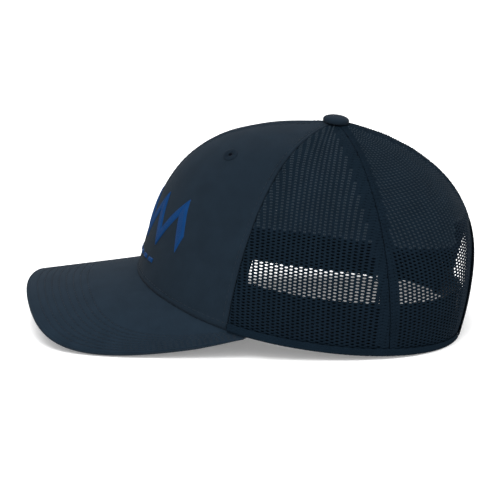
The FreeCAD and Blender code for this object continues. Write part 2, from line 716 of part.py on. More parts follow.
def top_button():
    tilt = FreeCAD.Placement(APEX, FreeCAD.Rotation(Vector(1, 0, 0), -dim["ButtonTilt"]))
    cover = turned_body("top_button_cover", [
        ("0", "ButtonRise"),
        ("ButtonRadius", "ButtonRise"),
        ("ButtonRadius", "-ButtonLip"),
        ("ButtonRadius - ButtonCloth", "-ButtonLip"),
        ("ButtonRadius - ButtonCloth", "ButtonRise - 2 * ButtonCloth"),
        ("0", "ButtonRise - 2 * ButtonCloth")],
        ("ButtonRadius", "ButtonRise", "ButtonRise * 0.8"))
    core = turned_body("top_button_core", [
        ("ShankRadius + 0.1", "ButtonLip"),
        ("ButtonRadius - 2.5 * ButtonCloth", "ButtonLip"),
        ("ButtonRadius - 3.5 * ButtonCloth", "ButtonRise - 3 * ButtonCloth"),
        ("ShankRadius + 0.1", "ButtonRise - 3 * ButtonCloth")])
    shank = turned_body("top_button_rivet", [
        ("0", "ButtonRise - 3 * ButtonCloth"),
        ("ShankRadius", "ButtonRise - 3 * ButtonCloth"),
        ("ShankRadius", "-ShankLength"),
        ("2 * ShankRadius", "-ShankLength"),
        ("2 * ShankRadius", "-ShankLength - PlateThick"),
        ("0", "-ShankLength - PlateThick")])
    plate = turned_body("top_button_washer", [
        ("ShankRadius + 0.1", "-ShankLength + 0.1"),
        ("PlateRadius", "-ShankLength + 0.1"),
        ("PlateRadius", "-ShankLength + 0.1 + PlateThick"),
        ("ShankRadius + 0.1", "-ShankLength + 0.1 + PlateThick")])
    for body, label in ((cover, "top_button_cover"), (core, "top_button_core"),
                        (shank, "top_button_rivet"), (plate, "top_button_washer")):
        body.Placement = tilt
        keep(body, label)


# ---------------------------------------------------------------- stitched emblem

def zigzag():
    """Closed outline of one zigzag line: its upper corners, then back along the lower ones."""
    halves = 2 * int(dim["EmblemPeaks"])
    upper = []
    for i in range(halves + 1):
        across = f"(2 * {i} / {halves} - 1) * EmblemHalfWidth"
        upper.append((across, "EmblemHighZ" if i % 2 else "EmblemLowZ + EmblemStroke"))
    lower = [(across, f"{up} - EmblemStroke") for across, up in reversed(upper)]
    return upper + lower


def dash(number):
    """One stitched dash of the row, counted from the middle."""
    left = f"{number} * DashPitch - DashLength / 2"
    return [(left, "DashRowZ"), (f"{left} + DashLength", "DashRowZ"),
            (f"{left} + DashLength", "DashRowZ + DashHeight"), (left, "DashRowZ + DashHeight")]


def front_emblem():
    """A zigzag over a row of dashes, raised a little from the front panels."""
    def place(turn, height, depth):
        return mirrored(wall_point(abs(turn), height, depth), LEFT if turn >= 0 else RIGHT)
    stitching = cloth("emblem_stock", sheet_solid(place, spread(-45, 45, 17), spread(2, 80, 9),
                                                  -dim["EmblemGap"] - dim["EmblemThick"],
                                                  -dim["EmblemGap"]))
    loops = [zigzag()] + [dash(number) for number in range(-3, 4)]
    prism = padded_outline("emblem_outline", loops, 2 * dim["FrontReach"], False)
    keep(joined("Part::MultiCommon", "emblem_pieces", [stitching, prism]), "front_emblem")


# ---------------------------------------------------------------- assembly

def side_mesh(side, word):
    turn = dim["PanelTurn"]
    keep(cloth("side_cloth_" + word, gore(turn + half_seam, 2 * turn - half_seam, 0, RIVET_CLEAR,
                                          0, dim["MeshThick"], side)), "side_mesh_" + word)


for one_side, side_word in SIDES:
    front_panel(one_side, side_word)
    buckram(one_side, side_word)
    eyelet(one_side, side_word)
    side_mesh(one_side, side_word)
    rear_mesh(one_side, side_word)
rear_arch_binding()
seam_tapes()
lower_edge()
top_button()
visor()
front_emblem()
hole_strap()
peg_strap()

doc.recompute()

for item in doc.Objects:
    if "Invalid" in item.State or "Error" in item.State:
        raise RuntimeError(f"{item.Label} failed: {item.State}")
for label, feature in subparts.items():
    if feature.Shape.isNull() or not feature.Shape.isValid() or feature.Shape.Volume <= 0:
        raise RuntimeError(f"{label} has no valid shape")

os.makedirs("parts", exist_ok=True)
for label, feature in subparts.items():
    feature.Shape.exportStep(f"parts/{label}.step")
    print(f"{label:22s} solids {len(feature.Shape.Solids)}  volume {feature.Shape.Volume:9.1f}")

for word, side, depth_name in (("hole", LEFT, "HoleStrapDepth"), ("peg", RIGHT, "PegStrapDepth")):
    point, direction = bending_line(side, dim[depth_name])
    print(f"{word} strap swings on ({point.x:.2f}, {point.y:.2f}, {point.z:.2f})"
          f" along ({direction.x:.4f}, {direction.y:.4f}, {direction.z:.4f})")
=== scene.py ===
import math

import bmesh
import bpy
import numpy as np
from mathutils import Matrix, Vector


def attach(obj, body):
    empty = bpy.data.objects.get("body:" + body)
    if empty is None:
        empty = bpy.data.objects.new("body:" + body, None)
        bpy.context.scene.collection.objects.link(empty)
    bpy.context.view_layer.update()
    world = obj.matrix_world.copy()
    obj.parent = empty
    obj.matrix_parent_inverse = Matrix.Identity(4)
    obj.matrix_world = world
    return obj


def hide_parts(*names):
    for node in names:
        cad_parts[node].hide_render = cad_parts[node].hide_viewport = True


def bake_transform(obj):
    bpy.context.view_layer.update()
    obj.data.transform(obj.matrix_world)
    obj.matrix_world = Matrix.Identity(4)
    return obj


# Looks of the mesh cap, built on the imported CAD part. Sizes are millimetres until add_piece() scales them.
# A turn goes round the crown in degrees: 0 at the visor, 90 on the wearer's left (+X), 180 at the back.
# A share goes up a panel: 0 at the rim, 1 at the apex. A depth is measured inwards from the outer surface.

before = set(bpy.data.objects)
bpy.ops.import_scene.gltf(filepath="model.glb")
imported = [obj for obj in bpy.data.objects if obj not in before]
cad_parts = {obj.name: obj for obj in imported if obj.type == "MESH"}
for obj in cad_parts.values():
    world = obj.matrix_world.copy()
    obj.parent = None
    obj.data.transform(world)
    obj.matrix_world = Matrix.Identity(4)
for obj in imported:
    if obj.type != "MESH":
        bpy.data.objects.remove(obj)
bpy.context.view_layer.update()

MM = 0.001
LEFT, RIGHT = 1, -1
SIDES = ((LEFT, "left"), (RIGHT, "right"))
BACK = 180

# ---- sizes shared with the CAD part, unless a comment says otherwise

CROWN_HEIGHT = 120.3
APEX_Y = 52
WIDEST_Y = 33.3
HALF_WIDTH = 85
FRONT_REACH, BACK_REACH = 100, 92
FRONT_SQUARENESS, BACK_SQUARENESS = 2.05, 3.1
FRONT_RIM_Z, SIDE_RIM_Z, BACK_RIM_Z = 31, 1.8, -0.35

# each at the front, the side and the back
LEAN = (22, 3.1, -17.7)
SLOPE = (0.2, 12.5, 13)
WALL_PULL = (0.306, 0.456, 0.455)
TOP_PULL = (0.586, 0.24, 0.526)
SHOULDER_IN = (0.121, 0.435, -0.214)
SHOULDER_UP = (0.909, 0.887, 0.693)

PANEL_TURN = 60
SEAM_HALF_TURN = 0.1
SEAMS = (0, 60, -60, 120, -120, BACK)
VISOR_TURN = 68.9
# 150 in the CAD part: here the sweatband goes on to the arch binding
SWEATBAND_TURN = 155

ARCH_HALF_WIDTH = 38.5
ARCH_SPRING_Z = 18
BINDING_WIDTH = 4.5

STRAP_LOW_Z = 1.6
STRAP_HEIGHT = 18
STRAP_THICK = 1.1
HOLE_STRAP_DEPTH = 1.8
PEG_STRAP_DEPTH = 3.2
HINGE_X = 36.4
TAB_END_X = 55
STRAP_END_X = -21.5
SNAP_PITCH = 8
SNAP_XS = [SNAP_PITCH * (i - 2) for i in range(7)]
HOLE_RADIUS = 2.3
PEG_RADIUS, PEG_TIP_RADIUS, PEG_HEIGHT = 1.65, 1.35, 2.6

EYELET_TURN = 28
EYELET_HEIGHT = 93.8
EYELET_RADIUS = 5
EYELET_HOLE_RADIUS = 1.6
EYELET_TIGHTER = 0.5

BUTTON_RADIUS = 7.8
BUTTON_RISE = 3.6
BUTTON_LIP = 0.75
BUTTON_TILT = 6

EMBLEM_LOW_Z, EMBLEM_HIGH_Z = 52, 82
EMBLEM_HALF_WIDTH = 45
EMBLEM_PEAKS = 5
EMBLEM_STROKE = 10
DASH_ROW_Z, DASH_PITCH, DASH_LENGTH, DASH_HEIGHT = 42, 9, 5.5, 2.4


# ---- crown surface

def blended(values, turn):
    """A value given at the front, the side and the back, blended round the crown."""
    front, side, back = values
    angle = np.radians(turn)
    twice = ((front + back) / 2 - side) / 2
    return side + twice + (front - back) / 2 * np.cos(angle) + twice * np.cos(2 * angle)


def rim(turn):
    """Lower edge of the crown."""
    angle = np.radians(turn)
    front_share = (1 + np.cos(angle)) / 2
    power = BACK_SQUARENESS + (FRONT_SQUARENESS - BACK_SQUARENESS) * front_share
    reach = BACK_REACH + (FRONT_REACH - BACK_REACH) * front_share
    along = np.abs(np.cos(angle) / reach) ** power
    across = np.abs(np.sin(angle) / HALF_WIDTH) ** power
    radius = (along + across) ** (-1 / power)
    rise = (FRONT_RIM_Z - SIDE_RIM_Z) * front_share ** 2.4
    drop = (SIDE_RIM_Z - BACK_RIM_Z) * (1 - front_share) ** 4
    return np.stack([radius * np.sin(angle), WIDEST_Y - radius * np.cos(angle),
                     SIDE_RIM_Z + rise - drop], -1)


def bezier(values, share):
    """Point at a share of the way along a Bezier curve with the given control values."""
    order = len(values) - 1
    return sum(math.comb(order, i) * (1 - share) ** (order - i) * share ** i * value
               for i, value in enumerate(values))


def surface(turn, share):
    """Outer surface of the crown."""
    turn, share = np.broadcast_arrays(np.asarray(turn, float), np.asarray(share, float))
    low = rim(turn)
    to_apex = np.stack([-low[..., 0], APEX_Y - low[..., 1]], -1)
    reach = np.linalg.norm(to_apex, axis=-1)
    rise = CROWN_HEIGHT - low[..., 2]
    lean = np.radians(blended(LEAN, turn))
    slope = np.radians(blended(SLOPE, turn))
    pull = blended(WALL_PULL, turn) * rise
    top = blended(TOP_PULL, turn) * reach
    inwards = bezier([0, pull * np.sin(lean), blended(SHOULDER_IN, turn) * reach,
                      reach - top * np.cos(slope), reach], share)
    upwards = bezier([0, pull * np.cos(lean), blended(SHOULDER_UP, turn) * rise,
                      rise - top * np.sin(slope), rise], share)
    plan = low[..., :2] + to_apex * (inwards / reach)[..., None]
    return np.concatenate([plan, (low[..., 2] + upwards)[..., None]], -1)


def unit(vectors):
    return vectors / np.maximum(np.linalg.norm(vectors, axis=-1, keepdims=True), 1e-12)


def outward(turn, share):
    """Unit normal of the outer surface."""
    round_it = surface(turn + 0.05, share) - surface(turn - 0.05, share)
    up_it = surface(turn, share + 0.001) - surface(turn, share - 0.001)
    return unit(np.cross(round_it, up_it))


def crown(turn, share, depth=0.0):
    turn, share, depth = np.broadcast_arrays(turn, share, depth)
    return surface(turn, share) - outward(turn, share) * np.asarray(depth)[..., None]


def run_lengths(points):
    """Length along a polyline up to each of its points."""
    return np.concatenate([[0], np.cumsum(np.linalg.norm(np.diff(points, axis=0), axis=1))])


def share_near_apex(turn, radius):
    """Share at which the surface is a given plan distance from the apex."""
    low = rim(np.asarray(turn, float))
    reach = np.hypot(low[..., 0], APEX_Y - low[..., 1])
    top = blended(TOP_PULL, turn) * reach
    return 1 - radius / (4 * top * np.cos(np.radians(blended(SLOPE, turn))))


# distance up the wall at whole turns, and its inverse on an even grid of heights
TABLE_TURNS = np.arange(0, 181)
TABLE_SHARES = np.linspace(0, 1, 201)
HEIGHT_STEP = 0.5
TABLE_HEIGHTS = np.arange(0, 230, HEIGHT_STEP)
_rows = surface(TABLE_TURNS[:, None], TABLE_SHARES[None, :])
WALL_LENGTHS = np.array([run_lengths(row) for row in _rows])
WALL_SHARES = np.array([np.interp(TABLE_HEIGHTS, lengths, TABLE_SHARES) for lengths in WALL_LENGTHS])


def share_at(turn, height):
    """Share at a distance up the wall from the rim; a little below the rim it is negative."""
    turn, height = np.broadcast_arrays(np.asarray(turn, float), np.asarray(height, float))
    folded = np.abs((turn + 180) % 360 - 180)
    low_turn = np.clip(np.floor(folded).astype(int), 0, 179)
    low_height = np.clip(np.floor(height / HEIGHT_STEP).astype(int), 0, len(TABLE_HEIGHTS) - 2)
    past_turn = folded - low_turn
    past_height = height / HEIGHT_STEP - low_height

    def at(row):
        first = WALL_SHARES[row, low_height]
        return first + (WALL_SHARES[row, low_height + 1] - first) * past_height

    return at(low_turn) * (1 - past_turn) + at(low_turn + 1) * past_turn


def height_at(turn, share):
    """Distance up the wall at a share, for one turn."""
    return np.interp(share, TABLE_SHARES, WALL_LENGTHS[int(round(abs(turn)))])


def wall(turn, height, depth=0.0):
    return crown(turn, share_at(turn, height), depth)


def per_degree(turn, share):
    """Millimetres round the crown for one degree."""
    return np.linalg.norm(surface(turn + 0.5, share) - surface(turn - 0.5, share), axis=-1)


def locate(x, z, depth, turn, share):
    """Turn and share at which the crown, at a depth, has the given X and Z; starts from a guess."""
    x, z, depth = np.broadcast_arrays(np.asarray(x, float), np.asarray(z, float), np.asarray(depth, float))
    turn = np.broadcast_to(np.asarray(turn, float), x.shape).copy()
    share = np.broadcast_to(np.asarray(share, float), x.shape).copy()
    step_turn, step_share = 0.05, 0.0005
    for _ in range(7):
        here = crown(turn, share, depth)
        by_turn = (crown(turn + step_turn, share, depth) - here) / step_turn
        by_share = (crown(turn, share + step_share, depth) - here) / step_share
        off_x, off_z = x - here[..., 0], z - here[..., 2]
        size = by_turn[..., 0] * by_share[..., 2] - by_share[..., 0] * by_turn[..., 2]
        turn += np.clip((off_x * by_share[..., 2] - off_z * by_share[..., 0]) / size, -8, 8)
        share += np.clip((off_z * by_turn[..., 0] - off_x * by_turn[..., 2]) / size, -0.15, 0.15)
    return turn, share


# ---- meshes

def grid_faces(rows, columns):
    index = np.arange(rows * columns).reshape(rows, columns)
    return np.stack([index[:-1, :-1], index[:-1, 1:], index[1:, 1:], index[1:, :-1]], -1).reshape(-1, 4)


def ring_quads(low, high):
    """Quads between closed rings of point numbers; the last axis goes round."""
    return np.stack([low, np.roll(low, -1, -1), np.roll(high, -1, -1), high], -1).reshape(-1, 4)


def tube_faces(rings, sides):
    """Quads of a tube whose points are numbered ring by ring."""
    index = np.arange(rings * sides).reshape(rings, sides)
    return ring_quads(index[:-1], index[1:])


def joined(patches):
    """One set of points and faces from several."""
    places, faces, total = [], [], 0
    for patch_places, patch_faces in patches:
        places.append(patch_places)
        faces.append(patch_faces + total)
        total += len(patch_places)
    return np.concatenate(places), np.concatenate(faces)


def thicken(outer, inner, faces):
    """A closed sheet: outer and inner points share their numbering, and open edges get walls."""
    count = len(outer)
    edges = np.concatenate([faces[:, [i, (i + 1) % 4]] for i in range(4)])
    codes = edges[:, 0].astype(np.int64) * count + edges[:, 1]
    reverse = edges[:, 1].astype(np.int64) * count + edges[:, 0]
    border = edges[~np.isin(codes, reverse)]
    walls = np.stack([border[:, 1], border[:, 0], border[:, 0] + count, border[:, 1] + count], 1)
    return np.concatenate([outer, inner]), np.concatenate([faces, faces[:, ::-1] + count, walls])


def add_piece(name, places, faces, finish, slot, body="crown", uv=None, finish_numbers=None):
    """A smooth mesh piece from points in millimetres; faces is an array or a list of arrays."""
    face_sets = faces if isinstance(faces, list) else [faces]
    loops = np.concatenate([face_set.reshape(-1) for face_set in face_sets]).astype(np.int32)
    sizes = np.concatenate([np.full(len(face_set), face_set.shape[1]) for face_set in face_sets])
    mesh = bpy.data.meshes.new(name + "_look")
    mesh.vertices.add(len(places))
    mesh.vertices.foreach_set("co", (np.asarray(places) * MM).astype(np.float32).ravel())
    mesh.loops.add(len(loops))
    mesh.loops.foreach_set("vertex_index", loops)
    mesh.polygons.add(len(sizes))
    mesh.polygons.foreach_set("loop_start", (np.cumsum(sizes) - sizes).astype(np.int32))
    mesh.polygons.foreach_set("use_smooth", np.ones(len(sizes), bool))
    if finish_numbers is not None:
        mesh.polygons.foreach_set("material_index", finish_numbers)
    if uv is not None:
        layer = mesh.uv_layers.new(name="cloth")
        layer.data.foreach_set("uv", np.asarray(uv)[loops].astype(np.float32).ravel())
    mesh.update(calc_edges=True)
    mesh.validate()
    tool = bmesh.new()
    tool.from_mesh(mesh)
    bmesh.ops.recalc_face_normals(tool, faces=tool.faces)
    tool.to_mesh(mesh)
    tool.free()
    mesh.materials.append(finish)
    piece = bpy.data.objects.new(name + "_look", mesh)
    bpy.context.scene.collection.objects.link(piece)
    if body:
        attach(piece, body)
    return piece


def add_sheet(name, outer, inner, finish, slot, uv, faces=None):
    """A closed sheet of cloth from two grids of points."""
    if faces is None:
        faces = grid_faces(*outer.shape[:2])
    outer_places, inner_places = outer.reshape(-1, 3), inner.reshape(-1, 3)
    places, all_faces = thicken(outer_places, inner_places, faces)
    uv = np.concatenate([uv.reshape(-1, 2)] * 2)
    piece = add_piece(name, places, all_faces, finish, slot, uv=uv)
    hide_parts(name)


def bump_at(distance, centre, width):
    """Bell of height 1."""
    return np.exp(-((distance - centre) / width) ** 2)


# ---- finishes

def new_finish(name, colour, roughness, sheen=0.0, metallic=0.0, specular=0.5):
    finish = bpy.data.materials.new(name)
    finish.use_nodes = True
    settings = {"Base Color": (*colour, 1), "Roughness": roughness, "Sheen Weight": sheen,
                "Sheen Roughness": 0.5, "Metallic": metallic, "Specular IOR Level": specular}
    for entry, value in settings.items():
        shader_of(finish).inputs[entry].default_value = value
    return finish


def shader_of(finish):
    return finish.node_tree.nodes["Principled BSDF"]


def node(finish, kind, **inputs):
    made = finish.node_tree.nodes.new(kind)
    for key, value in inputs.items():
        made.inputs[key.replace("_", " ")].default_value = value
    return made


def link(finish, source, output, target, entry):
    finish.node_tree.links.new(source.outputs[output], target.inputs[entry])


def mottled(name, colour, roughness, contrast, scale, **options):
    """A finish whose base colour varies with soft noise."""
    finish = new_finish(name, colour, roughness, **options)
    where = node(finish, "ShaderNodeTexCoord")
    noise = node(finish, "ShaderNodeTexNoise", Scale=scale, Detail=4.0, Roughness=0.6)
    ramp = node(finish, "ShaderNodeValToRGB")
    for element, position, change in zip(ramp.color_ramp.elements, (0.3, 0.7), (-contrast, contrast)):
        element.position = position
        element.color = (*[channel * (1 + change) for channel in colour], 1)
    link(finish, where, "Object", noise, "Vector")
    link(finish, noise, "Fac", ramp, "Fac")
    link(finish, ramp, "Color", shader_of(finish), "Base Color")
    return finish


# a wave texture of this scale repeats once in each unit
WAVE_SCALE = 0.31416


def weave(finish, angles, pitch, depth_mm, strength):
    """Bump of parallel threads in one or two directions; the UVs are millimetres on the cloth."""
    where = node(finish, "ShaderNodeTexCoord")
    threads = []
    for angle in angles:
        turned = node(finish, "ShaderNodeMapping")
        turned.inputs["Rotation"].default_value = (0, 0, math.radians(angle))
        wave = node(finish, "ShaderNodeTexWave", Scale=WAVE_SCALE / pitch, Distortion=0.6, Detail=2.0)
        wave.inputs["Detail Scale"].default_value = 2.0
        link(finish, where, "UV", turned, "Vector")
        link(finish, turned, "Vector", wave, "Vector")
        threads.append(wave)
    height, output = threads[0], "Fac"
    if len(threads) == 2:
        height, output = node(finish, "ShaderNodeMath"), "Value"
        height.operation = "MULTIPLY"
        for entry, wave in enumerate(threads):
            link(finish, wave, "Fac", height, entry)
    bump = node(finish, "ShaderNodeBump", Strength=strength, Distance=depth_mm * MM)
    link(finish, height, output, bump, "Height")
    link(finish, bump, "Normal", shader_of(finish), "Normal")
    return finish


def cloth_finish(name, colour, angles=(45,), pitch=0.7, strength=0.5, contrast=0.1, sheen=0.02,
                 roughness=0.95, specular=0.04):
    finish = mottled(name, colour, roughness, contrast, 90.0, sheen=sheen, specular=specular)
    return weave(finish, angles, pitch, 0.12, strength)


NAVY = (0.0070, 0.0129, 0.0202)
# the visor cover is the same twill as the front, painted lighter for the light that falls on its upward face
NAVY_PAINTED_LIGHTER = (0.0082, 0.0152, 0.0240)
MESH_NAVY = (0.0042, 0.0091, 0.0151)
DARK = (0.0034, 0.0060, 0.0096)
ROYAL = (0.0006, 0.026, 0.098)

front_finish = cloth_finish("navy_twill", NAVY)
visor_painted_light_finish = cloth_finish("visor_twill_painted_lighter", NAVY_PAINTED_LIGHTER, strength=0.35)
mesh_finish = cloth_finish("navy_mesh", MESH_NAVY, angles=(90,), pitch=0.35, strength=0.5, sheen=0,
                           roughness=0.8, specular=0.02)
# lighter knit colour for the cones of the closed holes: painted light standing for the faint light seen
# through the mesh
see_through_light_finish = cloth_finish("painted_see_through_light", (0.0205, 0.0295, 0.0385), angles=(90,), pitch=0.35, sheen=0)
buckram_finish = cloth_finish("buckram_weave", (0.02, 0.026, 0.042), angles=(0, 90), pitch=1.1,
                              strength=1.0)
tape_finish = cloth_finish("tape_weave", DARK, angles=(0, 90), pitch=0.8)
sweatband_finish = cloth_finish("sweatband_weave", DARK, angles=(45, -45), pitch=0.9)
padding_finish = cloth_finish("padding_felt", (0.006, 0.007, 0.009), angles=(20, 70), pitch=1.5,
                              contrast=0.25)
thread_finish = cloth_finish("navy_thread", (0.0085, 0.0140, 0.0215), angles=(0,), pitch=0.3, roughness=0.7,
                             specular=0.1)
emblem_finish = cloth_finish("royal_thread", ROYAL, angles=(0,), pitch=0.25, strength=0.4, roughness=0.55,
                             specular=0.06)
hem_finish = cloth_finish("navy_mesh_fold", MESH_NAVY, angles=(0, 90), pitch=1.4, strength=0.9, sheen=0,
                          specular=0.02)
eyelet_finish = cloth_finish("eyelet_thread", (0.0062, 0.0116, 0.0186), angles=(0,), pitch=0.3,
                             roughness=0.9)
dark_thread_finish = cloth_finish("mesh_thread", MESH_NAVY, angles=(0,), pitch=0.3, roughness=0.8, sheen=0,
                                  specular=0.02)
strap_finish = weave(mottled("strap_plastic", (0.008, 0.012, 0.02), 0.42, 0.08, 60.0, specular=0.35),
                     (0, 90), 1.6, 0.02, 0.25)
board_finish = mottled("board_plastic", (0.02, 0.022, 0.026), 0.5, 0.1, 40.0)
metal_finish = mottled("button_steel", (0.45, 0.45, 0.46), 0.35, 0.12, 120.0, metallic=1.0)


# ---- thread stitches

STITCH_SIDES = 6
STITCH_SHARES = np.array([0.0, 0.18, 0.5, 0.82, 1.0])
STITCH_LIFTS = np.array([-1.2, 0.1, 0.35, 0.1, -1.2])
STITCH_SWELLS = np.array([0.6, 1.0, 1.05, 1.0, 0.6])


def stitches(path, normals, length=2.6, gap=0.7, radius=0.19):
    """Points and faces of a row of stitches along a polyline that lies on the cloth."""
    along = run_lengths(path)
    count = max(1, int(along[-1] // (length + gap)))
    start = (along[-1] - count * (length + gap) + gap) / 2 + np.arange(count) * (length + gap)
    at = start[:, None] + STITCH_SHARES[None, :] * length

    def sampled(values, where):
        return np.stack([np.interp(where, along, values[:, i]) for i in range(3)], -1)

    normal = unit(sampled(normals, at))
    forward = unit(sampled(path, at + 0.2) - sampled(path, at - 0.2))
    sideways = unit(np.cross(forward, normal))
    centre = sampled(path, at) + normal * (STITCH_LIFTS * radius)[None, :, None]
    angle = np.arange(STITCH_SIDES) * 2 * math.pi / STITCH_SIDES
    ring = (sideways[:, :, None, :] * np.cos(angle)[None, None, :, None]
            + normal[:, :, None, :] * np.sin(angle)[None, None, :, None])
    places = centre[:, :, None, :] + ring * (STITCH_SWELLS * radius)[None, :, None, None]
    rings = len(STITCH_SHARES)
    index = np.arange(count * rings * STITCH_SIDES).reshape(count, rings, STITCH_SIDES)
    caps = np.concatenate([index[:, 0, ::-1], index[:, -1]])
    return places.reshape(-1, 3), ring_quads(index[:, :-1], index[:, 1:]), caps


def add_stitching(name, rows, finish, slot):
    """One piece from many rows of (path, normals, options)."""
    made = [stitches(path, normals, **options) for path, normals, options in rows]
    places, sides = joined([(row_places, row_sides) for row_places, row_sides, _caps in made])
    _places, caps = joined([(row_places, row_caps) for row_places, _sides, row_caps in made])
    add_piece(name, places, [sides, caps], finish, slot)


def seam_row(seam, side, offset, low_height, top_radius, depth=0.0, facing=1, **options):
    """A row beside a seam: side is +1 or -1 round the crown, offset is in millimetres."""
    low = share_at(seam, low_height)
    share = np.linspace(low, share_near_apex(seam, top_radius), 120)
    turn = seam + side * np.minimum(offset / per_degree(seam, share), PANEL_TURN * 0.45)
    if abs(seam) > PANEL_TURN:
        depth = depth - seam_ridge(offset, share)
    return crown(turn, share, depth), outward(turn, share) * facing, options


def round_row(first_turn, last_turn, height, depth=0.0, facing=1, **options):
    """A row round the crown at one distance up the wall."""
    turn = np.linspace(first_turn, last_turn, 200)
    share = share_at(turn, height)
    return crown(turn, share, depth), outward(turn, share) * facing, options


# ---- panels of cloth

FABRIC = 0.9
MESH = 0.8
STITCH_OFFSET = 3.2
PANEL_TOP_RADIUS = 3.0


def panel_flat(centre):
    """Width and length of a panel laid flat."""
    share = np.linspace(0, 0.9, 60)
    width = PANEL_TURN * per_degree(centre, share).max()
    return width, height_at(centre, 1.0)


def seam_relief(distance):
    """Depth of the cloth beside a seam: rolled into the seam, puffed, then held down by the stitches."""
    return (0.5 * bump_at(distance, 0, 0.55) + 0.16 * bump_at(distance, STITCH_OFFSET, 0.55)
            - 0.12 * bump_at(distance, STITCH_OFFSET / 2 + 0.1, 0.9))


def gentle_waves(u, v, size, length):
    """Soft unevenness of stretched cloth."""
    return size * (np.sin(u * 2 * math.pi / length + 1.3 * np.sin(v * 2 * math.pi / (1.7 * length)))
                   * np.cos(v * 2 * math.pi / (1.3 * length) + 0.6))


def panel_grid(centre, rows, columns, low, top, margin):
    """A grid on a panel from share low to top, margin degrees inside its seams.

    Gives turns, shares, millimetres across and up the cloth, and the panel's half width.
    """
    up = np.linspace(0, 1, rows)[:, None]
    across = np.linspace(-1, 1, columns)[None, :]
    share = low + up * (top - low) + 0 * across
    turn = centre + across * (PANEL_TURN / 2 - margin) + 0 * up
    half = PANEL_TURN / 2 * per_degree(centre, share)
    return turn, share, across * half, height_at(centre, share), half


def clear_of_eyelet(outer, side, clearance):
    """Faces of a grid that leave the ventilation hole free."""
    faces = grid_faces(*outer.shape[:2])
    hole = crown(side * EYELET_TURN, share_at(EYELET_TURN, EYELET_HEIGHT))
    middles = outer.reshape(-1, 3)[faces].mean(axis=1)
    return faces[np.linalg.norm(middles - hole, axis=1) > EYELET_HOLE_RADIUS + clearance]


def front_panel(side, word):
    centre = side * PANEL_TURN / 2
    turn, share, u, v, half = panel_grid(centre, 190, 131, 0, share_near_apex(centre, PANEL_TOP_RADIUS),
                                         SEAM_HALF_TURN)
    relief = seam_relief(half - np.abs(u)) + gentle_waves(u, v, 0.18, 47)
    relief = relief + 0.5 * bump_at(v, 0, 0.7) + 0.16 * bump_at(v, 3.6, 0.6) - 0.2 * bump_at(v, 2.0, 0.9)
    outer = crown(turn, share, relief)
    add_sheet("front_panel_" + word, outer, crown(turn, share, relief + FABRIC), front_finish,
              "front_fabric", np.stack([u, v], -1),
              faces=clear_of_eyelet(outer, side, 0.9))


def backing(side, word):
    """The stiff cloth behind a front panel."""
    centre = side * PANEL_TURN / 2
    turn, share, u, v, _half = panel_grid(centre, 100, 70, share_at(centre, 1.0),
                                          share_near_apex(centre, 9), 2)
    outer = crown(turn, share, 1.1)
    add_sheet("buckram_" + word, outer, crown(turn, share, 1.6), buckram_finish, "buckram",
              np.stack([u, v], -1), faces=clear_of_eyelet(outer, side, 1.4))


# ---- mesh panels

HOLE_PITCH = 1.87
COLUMN_PITCH = 2.8
HOLE_HALF_WIDTH = 0.94
HOLE_HALF_HEIGHT = 0.47
HOLE_DIP = 0.24
CONNECTOR_DIP = 0.36
EDGE_SQUEEZE = 2.4
GATHER_HEIGHT = 44
# where the holes begin to close, and over what height; near the back of the rear panels it is higher
SIDE_CLOSING = (64, 3)
REAR_CLOSING = (56, 6)
BACK_OPENING = 13
RIB_REACH, RIB_DEPTH = 75, 0.42
# a closed hole is a dimple this deep, with a thin web left behind it
CLOSED_DIP = 0.6
WEB = 0.05
# the part of a hole's closing that is done, and the size of the holes where folded edges lie behind
CLOSED_SHARE, NARROW_OPENING = 0.97, 0.35
# how far those folded edges reach from a rear seam and from the edge of the arch
SEAM_BAND, ARCH_BAND = 5.2, 15
FOLD_LIFT = 0.35
RIDGE_HEIGHT, RIDGE_WIDTH = 1.4, 7

HEX_SIDE = (COLUMN_PITCH ** 2 + (HOLE_PITCH / 2) ** 2) / (2 * COLUMN_PITCH)
HEX_TOP = HEX_SIDE - (HOLE_PITCH / 2) ** 2 / COLUMN_PITCH
HEX_CORNERS = np.array([(HEX_SIDE, 0), (HEX_TOP, 1), (-HEX_TOP, 1), (-HEX_SIDE, 0), (-HEX_TOP, -1),
                        (HEX_TOP, -1)]) * (1, HOLE_PITCH / 2)
# each corner, then the middle of the side after it
HEX = np.stack([HEX_CORNERS, (HEX_CORNERS + np.roll(HEX_CORNERS, -1, 0)) / 2], 1).reshape(-1, 2)
# the yarn zigzags over the even columns and under the odd ones; the links between two yarns lie lower
YARN_DIP = np.array([0.07, 0, 0.03, 0, 0.03, 0, 0.07, CONNECTOR_DIP, 0.03, 0, 0.03, CONNECTOR_DIP])
RING = len(HEX)
RING_ANGLES = np.arange(RING) * 2 * math.pi / RING
HOLE = np.stack([HOLE_HALF_WIDTH * np.cos(RING_ANGLES), HOLE_HALF_HEIGHT * np.sin(RING_ANGLES)], -1)


def seam_ridge(from_seam, share):
    """How far the folded edges of the mesh lift a rear seam; higher up it stands like a tent pole."""
    folds = FOLD_LIFT / (1 + np.exp((from_seam - SEAM_BAND) / 0.4))
    crease = RIDGE_HEIGHT * bump_at(from_seam, 0, RIDGE_WIDTH) * bump_at(share, 0.65, 0.3)
    return (folds + crease) * np.clip(5 - share * 5, 0, 1)


